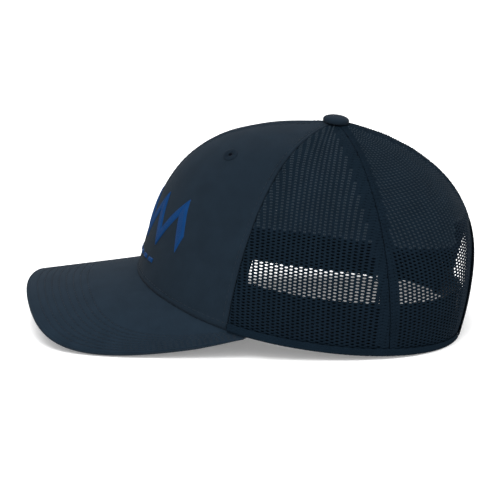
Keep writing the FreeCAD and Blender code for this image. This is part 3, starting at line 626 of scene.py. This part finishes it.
def mesh_cells(centres, odd, opening, closing):
    """Flat points, faces and dips of six-sided cells with a hole in each; neighbours share their rims."""
    cells = len(centres)
    holes = HOLE[None] * opening[:, None, None]
    rims = (centres[:, None] + HEX[None]).reshape(-1, 2)
    codes = np.round(rims * 200).astype(np.int64)
    _unique, first, inverse = np.unique(codes, axis=0, return_index=True, return_inverse=True)
    flat = np.concatenate([rims[first], (centres[:, None] + holes * 0.55 + HEX[None] * 0.45).reshape(-1, 2),
                           (centres[:, None] + holes).reshape(-1, 2)])
    rim_ring = inverse.reshape(cells, RING)
    shoulder = len(first) + np.arange(cells * RING).reshape(cells, RING)
    yarn_dip = np.where(odd[:, None], np.roll(YARN_DIP, RING // 2)[None], YARN_DIP[None]).ravel()
    hole_dip = np.repeat(HOLE_DIP + (CLOSED_DIP - HOLE_DIP) * closing, RING)
    return (flat,
            np.concatenate([ring_quads(rim_ring, shoulder), ring_quads(shoulder, shoulder + cells * RING)]),
            np.concatenate([yarn_dip[first], yarn_dip * 0.85, hole_dip]))


def pressed_to_seams(u, half):
    """Moves points across the cloth to where they lie when its edges are pressed into the seams."""
    inner_limit = np.maximum(half - EDGE_SQUEEZE, half * 0.3)
    past = np.maximum(np.abs(u) - inner_limit, 0)
    room = half - inner_limit
    squeezed = inner_limit + room * (1 - np.exp(-past / room * 1.25)) / (1 - math.exp(-1.25 * 1.1))
    return np.where(past > 0, np.sign(u) * np.minimum(squeezed, half), u)


def mesh_panel(name, centre, cut_arch):
    """A knitted mesh gore: cells with real holes in staggered columns, cut by the seams."""
    tall = height_at(centre, share_near_apex(centre, PANEL_TOP_RADIUS))
    width, length = panel_flat(centre)
    column_count = int(width / 2 // COLUMN_PITCH) + 2
    columns = np.arange(-column_count, column_count + 1)
    rows = np.arange(0, int(tall // HOLE_PITCH) + 1)
    column, row = [values.ravel() for values in np.meshgrid(columns, rows)]
    cell_u = column * COLUMN_PITCH
    cell_v = (row + 0.5 * (column % 2) + 0.5) * HOLE_PITCH

    def half_width(v):
        return (PANEL_TURN / 2 - SEAM_HALF_TURN) * per_degree(centre, share_at(centre, v))

    def gathered(v):
        """Share of its flat width that the mesh keeps where it is gathered under the button."""
        return 1 - 0.4 * np.clip((v - tall + GATHER_HEIGHT) / GATHER_HEIGHT, 0, 1) ** 1.5

    from_edge = half_width(cell_v) - np.abs(cell_u) * gathered(cell_v)
    kept = (from_edge > -0.9) & (cell_v < tall)
    closing_from, closing_length = REAR_CLOSING if cut_arch else SIDE_CLOSING
    narrow = at_rear_seam = (from_edge < SEAM_BAND) & (cut_arch | (cell_u * centre > 0))
    if cut_arch:
        share = share_at(centre, cell_v)
        at = surface(centre + cell_u / per_degree(centre, share), share)
        from_arch = np.hypot(at[:, 0], np.maximum(at[:, 2] - ARCH_SPRING_Z, 0)) - ARCH_HALF_WIDTH
        kept &= from_arch > 1.4
        narrow = at_rear_seam | (from_arch < ARCH_BAND)
        towards_back = cell_u * np.sign(centre)
        closing_from = closing_from + BACK_OPENING * np.clip((towards_back + 4) / 6, 0, 1)

    # the holes close above the head, and are narrow where folded edges lie behind the mesh
    closing = np.clip((cell_v - closing_from) / closing_length, 0, 1)
    opening = 1 - CLOSED_SHARE * closing
    opening = np.where(narrow, np.minimum(opening, NARROW_OPENING), opening)
    flat, faces, dip = mesh_cells(np.stack([cell_u, cell_v], -1)[kept], column[kept] % 2 == 1,
                                  opening[kept], closing[kept])

    v = np.clip(flat[:, 1], 0, tall)
    half = half_width(v)
    u = pressed_to_seams(flat[:, 0] * gathered(v), half)
    share = share_at(centre, v)
    turn = centre + u / per_degree(centre, share)
    from_seam = half - np.abs(u)
    relief = 0.14 * bump_at(from_seam, 0, 0.6) + gentle_waves(u, v, 0.25, 38)
    relief = relief - seam_ridge(from_seam, share) * (cut_arch | (u * centre > 0))
    # gathered under the button, the columns of holes stand up as ribs
    near_top = np.clip((v - tall + RIB_REACH) / RIB_REACH, 0, 1) * np.clip((tall - v) / 8, 0, 1)
    ribs = np.cos(flat[:, 0] * 2 * math.pi / COLUMN_PITCH)
    relief = relief - RIB_DEPTH * near_top ** 0.7 * ribs * np.clip(from_seam / 3, 0, 1)
    outer = crown(turn, share, relief + dip)
    inner = crown(turn, share, relief + MESH - np.minimum(dip, MESH - WEB - dip))
    places, all_faces = thicken(outer, inner, faces)

    # the outer cones of the closed holes, in the second half of faces, get a lighter finish: painted light
    # standing for the faint light seen through the holes
    finish_numbers = np.zeros(len(all_faces), dtype=np.int32)
    closed = ((closing > 0.5) & ~at_rear_seam)[kept]
    finish_numbers[len(faces) // 2 + np.flatnonzero(np.repeat(closed, RING))] = 1
    piece = add_piece(name, places, all_faces, mesh_finish, "mesh", uv=np.concatenate([flat, flat]),
                      finish_numbers=finish_numbers)
    piece.data.materials.append(see_through_light_finish)
    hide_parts(name)


# ---- strips

def strip_band(name, last_turn, low, high, depth, thick, finish, slot, bulge=0.0):
    """A strip of cloth round the lower edge from -last_turn to last_turn, its long edges rounded."""
    around = np.linspace(-last_turn, last_turn, int(last_turn * 3))[None, :]
    up = np.linspace(0, 1, 25)[:, None]
    turn = around + 0 * up
    height = low + (high - low) * up + 0 * around
    lift = bulge * (1 - (2 * up - 1) ** 4) + 0 * around
    wave = gentle_waves(turn * 1.4, height, 0.12, 23)
    share = share_at(turn, height)
    length = strip_length(-last_turn, last_turn, (low + high) / 2)
    u = (turn + last_turn) / (2 * last_turn) * length
    add_sheet(name, crown(turn, share, depth - lift * 0.3 + wave),
              crown(turn, share, depth + thick + lift + wave), finish, slot,
              np.stack([u, height], -1))


def strip_length(first_turn, last_turn, height):
    """Length of a strip along the wall at one height."""
    return float(run_lengths(wall(np.linspace(first_turn, last_turn, 200), height))[-1])


def tape(name, seam, low_height, depth, top_radius=9.0):
    """A narrow tape up behind a seam."""
    half, thick = 5.5, 0.55
    low, top = share_at(seam, low_height), float(share_near_apex(seam, top_radius))
    across = np.linspace(-1, 1, 17)[None, :]
    share = np.linspace(low, top, 140)[:, None] + 0 * across
    turn = seam + across * np.minimum(half / per_degree(seam, share), 0.49 * PANEL_TURN)
    curl = 0.15 * across ** 4 - 0.12 * bump_at(np.abs(across), 0.0, 0.2) + 0 * share
    if abs(seam) > PANEL_TURN:
        curl = curl - seam_ridge(across * half, share)
    v = height_at(seam, share)
    add_sheet(name, crown(turn, share, depth + curl), crown(turn, share, depth + curl + thick), tape_finish,
              "tape", np.stack([across * half + 0 * share, v], -1))


def fold_section(outer_depth, inner_depth, outer_end, inner_end, bend_at, bend_reach, leg_points):
    """Section of a strip folded over an edge: (steps from the edge, depths), its normals and lengths."""
    legs = np.linspace(0, 1, leg_points)
    bend = np.linspace(0, 1, 9)[1:-1] * math.pi
    middle, radius = (outer_depth + inner_depth) / 2, (inner_depth - outer_depth) / 2
    steps = np.concatenate([outer_end - (outer_end - bend_at) * legs, bend_at - bend_reach * np.sin(bend),
                            bend_at + (inner_end - bend_at) * legs])
    depths = np.concatenate([np.full(leg_points, outer_depth), middle - radius * np.cos(bend),
                             np.full(leg_points, inner_depth)])
    slope_steps, slope_depths = np.gradient(steps), np.gradient(depths)
    normals = np.stack([-slope_depths, slope_steps]) / np.hypot(slope_steps, slope_depths)
    section = np.stack([steps, depths])
    return section, normals, run_lengths(section.T)


def folded_hem(side, word):
    """A fold of cloth that wraps the lower edge of the mesh."""
    arch_turn, _share = locate(ARCH_HALF_WIDTH + BINDING_WIDTH - 1, 3, 0, 150, 0.02)
    first, last = side * (PANEL_TURN + SEAM_HALF_TURN), side * float(arch_turn)
    turn = np.linspace(first, last, 420)[None, :]
    section, normals, flat = fold_section(-0.45, 1.7, 4.1, 5.7, 0.6, 0.9, 12)

    def skin(offset):
        height, depth = (section + normals * offset)[:, :, None] + 0 * turn
        knit = 0.1 * np.cos(turn * 2 * math.pi / 1.9) * np.cos(flat * 2 * math.pi / HOLE_PITCH)[:, None]
        return crown(turn + 0 * height, share_at(turn + 0 * height, height), depth + knit)

    length = strip_length(first, last, 3)
    u = np.abs(turn - first) / abs(last - first) * length + 0 * flat[:, None]
    add_sheet("mesh_hem_" + word, skin(0), skin(0.4), hem_finish, "mesh",
              np.stack([u, flat[:, None] + 0 * turn], -1))


# ---- rear opening

def arch_path(radius, step=1.0):
    """X and Z along the arch from one lower end over the top to the other."""
    low_z = 1.5
    upright = np.arange(low_z, ARCH_SPRING_Z, step)
    angle = np.linspace(0, math.pi, int(math.pi * radius / step))
    x = np.concatenate([np.full(len(upright), radius), radius * np.cos(angle),
                        np.full(len(upright), -radius)])
    z = np.concatenate([upright, ARCH_SPRING_Z + radius * np.sin(angle), upright[::-1]])
    return x, z


def on_back(x, z, depth):
    """Points of the crown at the back, given X and Z."""
    guess_share = np.clip(z / 150, 0.01, 0.6)
    turn, share = locate(x, z, depth, BACK - x / 1.35, guess_share)
    return crown(turn, share, depth)


def arch_binding():
    """Tape folded over the edge of the rear opening, with a row of stitches on each face."""
    section, normals, flat = fold_section(-0.75, 1.55, BINDING_WIDTH, BINDING_WIDTH, 1.15, 1.15, 8)
    x, z = arch_path(ARCH_HALF_WIDTH)
    away = unit(np.stack([np.gradient(z), -np.gradient(x)], -1))

    def skin(offset):
        return np.array([on_back(x + away[:, 0] * step, z + away[:, 1] * step, depth)
                         for step, depth in (section + normals * offset).T])

    along = run_lengths(np.stack([x, z], -1))
    outer = skin(0)
    add_sheet("rear_arch_binding", outer, skin(0.42), tape_finish, "tape",
              np.stack(np.broadcast_arrays(along[None, :], flat[:, None]), -1))
    middle = unit(outer[2] - outer[-3])
    rows = [(line, middle * facing, dict(length=2.2, gap=0.7, radius=0.2))
            for line, facing in ((outer[3], 1), (outer[-4], -1))]
    add_stitching("stitching_arch", rows, thread_finish, "tape")


# ---- snap straps

EDGE_ROUND = 0.45
# distance to each side of the hinge of two points found on the middle of the strap
BEND_REACH = 4
# points along one upright line, as shares of the half height
STRAP_ROWS = np.array([-1, -0.985, -0.95, -0.88, -0.7, -0.5, -0.25,
                       0, 0.25, 0.5, 0.7, 0.88, 0.95, 0.985, 1])
STRAP_RADIUS = STRAP_HEIGHT / 2
STRAP_MIDDLE_Z = STRAP_LOW_Z + STRAP_RADIUS
# X of the upright lines at the round free end, and at the end with the tab
END_XS = STRAP_END_X + STRAP_RADIUS * (1 - np.cos(np.linspace(0.12, 0.6, 7)))
TAB_XS = np.array([36, 36.8, 38, 39.5, 41, 43, 46, 49, 52, 54, 54.6, 54.9, TAB_END_X])


def strap_half_height(x):
    """Half height of the strap at X, with its round free end."""
    past = np.maximum((STRAP_END_X + STRAP_RADIUS) - x, 0)
    return np.sqrt(np.maximum(STRAP_RADIUS ** 2 - past ** 2, 0))


def hole_cell(x_centre, first_x, last_x):
    """Points and quads of the strap round one hole, from one upright line to the next."""
    tops = np.linspace(first_x, last_x, 9)
    right = np.stack([np.full(len(STRAP_ROWS), last_x), STRAP_ROWS * strap_half_height(last_x)], -1)
    top = np.stack([tops[::-1][1:-1], strap_half_height(tops[::-1][1:-1])], -1)
    left = np.stack([np.full(len(STRAP_ROWS), first_x), STRAP_ROWS[::-1] * strap_half_height(first_x)], -1)
    ring = np.concatenate([right, top, left, top[::-1] * (1, -1)])
    angle = np.arctan2(ring[:, 1], ring[:, 0] - x_centre)
    hole = np.stack([x_centre + HOLE_RADIUS * np.cos(angle), HOLE_RADIUS * np.sin(angle)], -1)
    shares = np.array([0, 0.03, 0.08, 0.2, 0.45, 0.75, 1.0])
    places = hole[None] + (ring - hole)[None] * shares[:, None, None]
    return places.reshape(-1, 2), tube_faces(len(shares), len(ring))


def plain_run(xs):
    """Points and quads of a plain length of strap."""
    x, row = np.meshgrid(xs, STRAP_ROWS)
    places = np.stack([x, row * strap_half_height(x)], -1).reshape(-1, 2)
    return places, grid_faces(len(STRAP_ROWS), len(xs))[:, ::-1]


def weld(places, faces):
    """Joins points that lie together."""
    _unique, first, inverse = np.unique(np.round(places, 4), axis=0, return_index=True, return_inverse=True)
    return places[first], inverse.reshape(-1)[faces]


def strap_edge_distance(flat, with_holes):
    """Distance of points from the nearest edge of the strap."""
    x, z = flat[:, 0], flat[:, 1]
    round_x = STRAP_END_X + STRAP_RADIUS
    from_end = STRAP_RADIUS - np.hypot(np.minimum(x - round_x, 0), z)
    distance = np.where(x < round_x, from_end, STRAP_RADIUS - np.abs(z))
    distance = np.minimum(distance, TAB_END_X - x)
    if with_holes:
        for hole_x in SNAP_XS:
            distance = np.minimum(distance, np.hypot(x - hole_x, z) - HOLE_RADIUS)
    return np.maximum(distance, 0)


def rounding(distance):
    short = np.clip(EDGE_ROUND - distance, 0, EDGE_ROUND)
    return EDGE_ROUND - np.sqrt(np.maximum(EDGE_ROUND ** 2 - short ** 2, 0))


def strap(name, side, depth, with_holes):
    """One half of the snap strap with its tab, in one piece laid on the back of the crown across where the
    CAD has a hinge.
    """
    patches = [plain_run(TAB_XS)]
    if with_holes:
        patches.append(plain_run(END_XS))
        for x in SNAP_XS:
            first = float(END_XS[-1]) if x == SNAP_XS[0] else x - SNAP_PITCH / 2
            patches.append(hole_cell(x, first, x + SNAP_PITCH / 2))
    else:
        patches.append(plain_run(np.concatenate([END_XS, np.linspace(END_XS[-1], TAB_XS[0], 60)[1:]])))
    flat, faces = weld(*joined(patches))
    cut_in = rounding(strap_edge_distance(flat, with_holes))
    x, z = side * flat[:, 0], STRAP_MIDDLE_Z + flat[:, 1]
    sheet = thicken(on_back(x, z, depth + cut_in), on_back(x, z, depth + STRAP_THICK - cut_in), faces)
    uv = np.concatenate([flat, flat])
    if not with_holes:
        sheet = joined([sheet, pegs(side, depth)])
        uv = np.concatenate([uv, np.zeros((len(sheet[0]) - len(uv), 2))])
    piece = add_piece(name + "_band", *sheet, strap_finish, "strap_plastic", body=None, uv=uv)
    middle = depth + STRAP_THICK / 2
    start, end = [on_back(np.array([side * at_x]), np.array([STRAP_MIDDLE_Z]), middle)[0] * MM
                  for at_x in (HINGE_X + BEND_REACH, HINGE_X - BEND_REACH)]
    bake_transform(piece)
    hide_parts(name, name + "_tab")


def pegs(side, depth):
    """Round pegs that stand out from the strap, with rounded tips."""
    profile = [(PEG_RADIUS + 0.35, 0.0), (PEG_RADIUS + 0.08, 0.12), (PEG_RADIUS, 0.4),
               (PEG_TIP_RADIUS, PEG_HEIGHT - 0.45), (PEG_TIP_RADIUS - 0.13, PEG_HEIGHT - 0.13),
               (PEG_TIP_RADIUS - 0.45, PEG_HEIGHT), (0.02, PEG_HEIGHT)]
    x = side * np.array(SNAP_XS, float)
    turn, share = locate(x, STRAP_MIDDLE_Z, depth, BACK - x / 1.35, 0.07)
    return joined([lathe(profile, 28, frame_at(root, out))
                   for root, out in zip(crown(turn, share, depth), outward(turn, share))])


# ---- visor

VISOR_POINTS = np.array([(0, -133, 22.7), (41.75, -133, 22.7), (66.8, -116, 14.7), (83.5, -130.6, -14.1)])
VISOR_CORNER = 0.99
VISOR_THINNING = 0.07
VISOR_HALF_THICK = 1.7
VISOR_ROWS = [7 + 4.3 * i for i in range(8)]


def visor_edge(across):
    """Outer edge of the visor, from its tip at 0 to a corner at 1 or -1."""
    points = [*VISOR_POINTS, rim(np.array(VISOR_TURN))]
    return bezier([point * np.ones((*across.shape, 1)) for point in points], np.abs(across)[..., None])


def visor_skin(across, out):
    """Upper face of the visor: across from one corner to the other, out from the crown to the edge."""
    across, out = np.broadcast_arrays(across, out)
    span = np.abs(across)
    inner = wall(VISOR_TURN * span ** 0.95, 0.5, 1.5)
    place = inner + (visor_edge(span) - inner) * out[..., None]
    side = np.where(across >= 0, 1, -1)
    return place * np.stack([side, np.ones_like(side), np.ones_like(side)], -1)


def visor_down(across, out):
    step = 0.002
    along = visor_skin(across + step, out) - visor_skin(across - step, out)
    outwards = visor_skin(across, out + step) - visor_skin(across, out - step)
    return unit(np.cross(along, outwards))


def visor_place(across, out, depth):
    """Points at a depth under the upper face; the visor thins out where its corners are sewn in."""
    thinned = np.asarray(depth) * np.clip((1 - np.abs(across)) / VISOR_THINNING, 0.25, 1)
    return visor_skin(across, out) + visor_down(across, out) * thinned[..., None]


def visor_width(across):
    return np.linalg.norm(visor_skin(across, np.array(1.0)) - visor_skin(across, np.array(0.0)), axis=-1)


def visor_cover(name, upper):
    """Cloth of one face of the visor; it turns over the edge and meets the other cover there."""
    across = np.linspace(VISOR_CORNER, -VISOR_CORNER, 301)
    wide = visor_width(across)
    thick = 0.6
    radius = np.minimum(VISOR_HALF_THICK, wide * 0.3)
    centre_out = 1 - radius / wide
    outer_lines, inner_lines, uv_lines = [], [], []

    def line(out, depth):
        if not upper:
            depth = 2 * VISOR_HALF_THICK - depth
        return visor_place(across, out, depth)

    for share in np.linspace(0, 1, 140):
        out = share * centre_out
        from_edge = (1 - out) * wide
        grooves = sum(bump_at(from_edge, row, 0.5) for row in VISOR_ROWS)
        low = 0.3 * grooves * (wide > from_edge + 2) + 0.25 * bump_at(from_edge, 2.3, 0.5) * (wide > 6)
        outer_lines.append(line(out, low))
        inner_lines.append(line(out, low + thick))
        uv_lines.append(np.stack([across * 95, out * wide], -1))
    for share in np.linspace(0, 1, 9)[1:]:
        angle = share * math.pi / 2
        for lines, size in ((outer_lines, VISOR_HALF_THICK), (inner_lines, VISOR_HALF_THICK - thick)):
            reach = (size - 0.25 * share ** 6) / VISOR_HALF_THICK * radius
            out = centre_out + reach * math.sin(angle) / wide
            lines.append(line(out, VISOR_HALF_THICK - size * math.cos(angle) + 0 * wide))
        uv_lines.append(np.stack([across * 95, wide + share * 2], -1))
    edge = visor_skin(np.linspace(-1, 1, 200), np.array(1.0))
    add_sheet(name, np.array(outer_lines), np.array(inner_lines), visor_painted_light_finish, "visor_fabric",
              np.array(uv_lines))


def visor_board():
    """The plastic board inside the visor, kept clear of the turned edge of the covers."""
    across = np.linspace(VISOR_CORNER, -VISOR_CORNER, 161)
    reach = np.maximum(1 - 2.0 / visor_width(across), 0.3)
    outer, inner = [np.array([visor_place(across, share * reach, depth + 0 * across)
                              for share in np.linspace(0, 1, 12)]) for depth in (0.85, 2.55)]
    places, faces = thicken(outer.reshape(-1, 3), inner.reshape(-1, 3), grid_faces(*outer.shape[:2]))
    piece = add_piece("visor_board", places, faces, board_finish, "visor_board")
    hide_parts("visor_board")


def visor_stitch_rows():
    rows = []
    for depth, facing in ((0.12, -1), (2 * VISOR_HALF_THICK - 0.12, 1)):
        for distance in VISOR_ROWS:
            across = np.linspace(VISOR_CORNER, -VISOR_CORNER, 400)
            across = across[visor_width(across) > distance + 2.5]
            out = 1 - distance / visor_width(across)
            rows.append((visor_place(across, out, depth + 0 * across), visor_down(across, out) * facing,
                         dict(length=2.5, gap=0.8, radius=0.18)))
    return rows


# ---- lathed and stitched pieces

def frame_at(centre, out):
    """Where a turned shape stands: its centre, its two cross directions and its axis."""
    up = unit(np.array([0.0, 0, 1]) - out * out[2])
    return centre, np.cross(up, out), up, out


def lathe(profile, sides, place, ripple=None):
    """Points and quads of a turned shape; profile is (radius, lift) pairs, ripple(angle, i) adds lift."""
    centre, across, up, out = place
    angle = np.arange(sides) * 2 * math.pi / sides
    rings = []
    for i, (radius, lift) in enumerate(profile):
        extra = ripple(angle, i) if ripple else 0 * angle
        rings.append(centre + radius * (across * np.cos(angle)[:, None] + up * np.sin(angle)[:, None])
                     + out * (lift + extra)[:, None])
    return np.concatenate(rings), tube_faces(len(profile), sides)


def eyelet(side, word):
    """A stitched ring of radial threads round the ventilation hole, drawn tighter than in the CAD part."""
    share = share_at(EYELET_TURN, EYELET_HEIGHT)
    turn = np.array(float(side * EYELET_TURN))
    inner_radius, outer_radius = EYELET_HOLE_RADIUS - EYELET_TIGHTER, EYELET_RADIUS - EYELET_TIGHTER
    middle, half = (outer_radius + inner_radius) / 2, (outer_radius - inner_radius) / 2
    around = np.linspace(0, 2 * math.pi, 29)
    profile = [(middle + half * math.cos(a), max(0.1 + 0.7 * math.sin(a), -0.9)) for a in around]
    threads = 46

    def ripple(angle, i):
        weight = max(math.sin(around[i]), 0) ** 0.5
        return 0.16 * weight * (np.abs(np.sin(angle * threads / 2)) - 0.5)

    place = frame_at(crown(turn, share, 0.0), outward(turn, share))
    places, faces = lathe(profile, threads * 6, place, ripple)
    piece = add_piece("eyelet_" + word, places, faces, eyelet_finish, "navy_thread")
    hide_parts("eyelet_" + word)


def button():
    """The cloth-covered dome on the apex."""
    tilt = math.radians(BUTTON_TILT)
    out = np.array([0, math.sin(tilt), math.cos(tilt)])
    place = (np.array([0, APEX_Y, CROWN_HEIGHT]), np.array([1.0, 0, 0]),
             np.array([0, math.cos(tilt), -math.sin(tilt)]), out)
    dome = [(0.02, BUTTON_RISE)]
    dome += [(BUTTON_RADIUS * math.sin(a), 0.55 + (BUTTON_RISE - 0.55) * math.cos(a) ** 0.8)
             for a in np.linspace(0.08, math.pi / 2 - 0.02, 26)]
    skirt = [(BUTTON_RADIUS, 0.2), (BUTTON_RADIUS - 0.05, -0.5), (BUTTON_RADIUS - 0.35, -BUTTON_LIP),
             (BUTTON_RADIUS - 1.1, -BUTTON_LIP + 0.1), (BUTTON_RADIUS - 1.2, 0.4), (BUTTON_RADIUS - 2, 1.6),
             (3.0, 2.4), (0.02, 2.5)]
    profile = dome + skirt

    def ripple(angle, i):
        """Gathers of the cloth round the rim."""
        weight = 0.05 * (profile[i][0] / BUTTON_RADIUS) ** 6 if i <= len(dome) + 2 else 0
        return weight * np.sin(angle * 14)

    places, faces = lathe(profile, 120, place, ripple)
    piece = add_piece("top_button_cover", places, faces, front_finish, "front_fabric", uv=places[:, :2])
    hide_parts("top_button_cover")


def on_front(x, z, depth):
    """Points of the crown at the front, given X and Z."""
    turn, share = locate(x, z, depth, x / 1.6, np.clip((z - 25) / 120, 0.05, 0.7))
    return crown(turn, share, depth)


def satin_patch(x, z, thread, edge_distance):
    """Raised stitching over a grid of X and Z: thread counts threads, edge_distance rounds the border."""
    shoulder = 1 - np.exp(-np.maximum(edge_distance, 0) / 0.35)
    lift = 0.05 + shoulder * (0.62 + 0.16 * np.abs(np.sin(thread * math.pi)))
    outer = on_front(x.ravel(), z.ravel(), -lift.ravel())
    inner = on_front(x.ravel(), z.ravel(), 0.12 + 0 * lift.ravel())
    return thicken(outer, inner, grid_faces(*x.shape))


def emblem():
    """A satin-stitched zigzag over a row of dashes."""
    patches = []
    pitch = 0.5
    limbs = 2 * EMBLEM_PEAKS
    wide = 2 * EMBLEM_HALF_WIDTH / limbs
    rise = EMBLEM_HIGH_Z - EMBLEM_LOW_Z - EMBLEM_STROKE
    slant = math.hypot(wide, rise)
    s = np.linspace(0, 1, 60)[None, :]
    t = np.linspace(0, 1, 64)[:, None]
    for limb in range(limbs):
        up = 1 if limb % 2 == 0 else -1
        first = EMBLEM_LOW_Z if up > 0 else EMBLEM_LOW_Z + rise
        x = -EMBLEM_HALF_WIDTH + (limb + s) * wide + 0 * t
        z = first + up * rise * s + EMBLEM_STROKE * t
        thread = (x * wide + up * z * rise) / slant / pitch
        # the satin is low at its long edges, at the mitres between limbs and at both ends of the zigzag
        edge = np.minimum(t, 1 - t) * EMBLEM_STROKE * wide / slant + 0 * s
        edge = np.minimum(edge, 0.25 + np.minimum(s, 1 - s) * wide * 1.2)
        if limb == 0:
            edge = np.minimum(edge, s * wide * 1.5)
        if limb == limbs - 1:
            edge = np.minimum(edge, (1 - s) * wide * 1.5)
        patches.append(satin_patch(x, z, thread, edge))
    x, z = np.meshgrid(np.linspace(-0.5, 0.5, 67) * DASH_LENGTH, np.linspace(0, 1, 16) * DASH_HEIGHT)
    edge = np.minimum(DASH_LENGTH / 2 - np.abs(x), np.minimum(z, DASH_HEIGHT - z))
    for number in range(-3, 4):
        patches.append(satin_patch(x + number * DASH_PITCH, z + DASH_ROW_Z, x / pitch, edge))
    places, faces = joined(patches)
    piece = add_piece("front_emblem", places, faces, emblem_finish, "emblem_thread", uv=places[:, [0, 2]])
    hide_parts("front_emblem")


# ---- build

# distance up the wall at the back to just over the binding of the rear opening
OVER_ARCH = 64

for side, word in SIDES:
    front_panel(side, word)
    backing(side, word)
    mesh_panel("side_mesh_" + word, side * 90, cut_arch=False)
    mesh_panel("rear_mesh_" + word, side * 150, cut_arch=True)
    folded_hem(side, word)
    eyelet(side, word)
    tape("front_" + word + "_tape", side * PANEL_TURN, 6.7, 1.75)
    tape("rear_" + word + "_tape", side * 2 * PANEL_TURN, 6.7, 1.05)
tape("front_centre_tape", 0, 1.0, 1.75)
tape("rear_centre_tape", BACK, OVER_ARCH, 1.05)
strip_band("visor_seam_tape", VISOR_TURN, 0.6, 10.7, 2.5, 0.5, tape_finish, "tape")
strip_band("sweatband_padding", SWEATBAND_TURN - 4, 1.5, 25, 4.3, 0.8, padding_finish, "padding")
strip_band("sweatband", SWEATBAND_TURN, 0.5, 29.5, 5.2, 0.6, sweatband_finish, "sweatband", bulge=0.5)
arch_binding()
button()
emblem()
visor_board()
visor_cover("visor_top_cover", upper=True)
visor_cover("visor_under_cover", upper=False)
strap("hole_strap", LEFT, HOLE_STRAP_DEPTH, True)
strap("peg_strap", RIGHT, PEG_STRAP_DEPTH, False)
add_stitching("stitching_visor", visor_stitch_rows(), thread_finish, "navy_thread")

seam_rows, mesh_seam_rows = [], []
for seam in SEAMS:
    low = {BACK: OVER_ARCH, 0: 1.0}.get(seam, 6.5)
    # the stitches of a seam between cloth and mesh are on the cloth
    cloth_side = -np.sign(seam) if abs(seam) == PANEL_TURN else 0
    rows = seam_rows if abs(seam) <= PANEL_TURN else mesh_seam_rows
    for side in ((cloth_side,) if cloth_side else (1, -1)):
        rows.append(seam_row(seam, side, STITCH_OFFSET, low, 9, depth=0.1))
for side in (LEFT, RIGHT):
    seam_rows.append(round_row(side * 0.5, side * 66, 3.6))
    seam_rows.append(round_row(side * 67, side * 153, 3.4, depth=-0.45, length=2.4))
    seam_rows.append(round_row(side * 0.5, side * (SWEATBAND_TURN - 1), 27.3, depth=6.1, facing=-1))
    seam_rows.append(round_row(side * 0.5, side * (SWEATBAND_TURN - 1), 2.6, depth=6.1, facing=-1))
add_stitching("stitching_crown", seam_rows, thread_finish, "navy_thread")
add_stitching("stitching_mesh", mesh_seam_rows, dark_thread_finish, "navy_thread")

for name in ("top_button_core", "top_button_rivet", "top_button_washer"):
    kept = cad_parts[name]
    kept.data.materials.clear()
    kept.data.materials.append(metal_finish)

# ---- floor, lights and camera

LIGHT_AIM = Vector((0, 0, 0.05))


def area_light(name, place, power, size):
    """A square light that points at the cap."""
    light = bpy.data.lights.new(name, "AREA")
    light.energy = power
    light.size = size
    lamp = bpy.data.objects.new(name, light)
    lamp.location = place
    lamp.rotation_euler = (LIGHT_AIM - Vector(place)).to_track_quat("-Z", "Y").to_euler()
    bpy.context.scene.collection.objects.link(lamp)


world = bpy.context.scene.world or bpy.data.worlds.new("studio")
bpy.context.scene.world = world
world.use_nodes = True
world.node_tree.nodes["Background"].inputs["Color"].default_value = (1, 1, 1, 1)
world.node_tree.nodes["Background"].inputs["Strength"].default_value = 1.0

floor_mesh = bpy.data.meshes.new("floor")
floor_mesh.from_pydata([(-6, -6, 0), (6, -6, 0), (6, 6, 0), (-6, 6, 0)], [], [(0, 1, 2, 3)])
# the floor glows faintly though it is no lamp: painted light that lifts the shadows under and inside the cap
# and lights it a little from below
glowing_floor_finish = new_finish("pale_glowing_floor", (0.86, 0.86, 0.86), 0.9)
shader_of(glowing_floor_finish).inputs["Emission Color"].default_value = (1, 1, 1, 1)
shader_of(glowing_floor_finish).inputs["Emission Strength"].default_value = 0.22
floor_mesh.materials.append(glowing_floor_finish)
floor = bpy.data.objects.new("floor", floor_mesh)
bpy.context.scene.collection.objects.link(floor)

area_light("key", (0.5, -0.2, 1.4), 18, 0.9)
area_light("fill", (1.2, 0.7, 0.9), 4, 1.2)
area_light("back", (-0.9, 0.2, 1.1), 6, 0.9)

CAMERA_AIM = Vector((0, 0.0013, 0.0518))
CAMERA_AZIMUTH, CAMERA_ELEVATION, CAMERA_DISTANCE = 90, 15.4, 1.2
azimuth, elevation = math.radians(CAMERA_AZIMUTH), math.radians(CAMERA_ELEVATION)
away = Vector((math.sin(azimuth) * math.cos(elevation), -math.cos(azimuth) * math.cos(elevation),
               math.sin(elevation)))
camera_data = bpy.data.cameras.new("camera")
camera_data.lens = 144.3
camera_data.shift_y = -0.034
camera = bpy.data.objects.new("camera", camera_data)
camera.location = CAMERA_AIM + away * CAMERA_DISTANCE
camera.rotation_euler = (-away).to_track_quat("-Z", "Y").to_euler()
bpy.context.scene.collection.objects.link(camera)
bpy.context.scene.camera = camera
bpy.context.scene.view_settings.view_transform = "Standard"
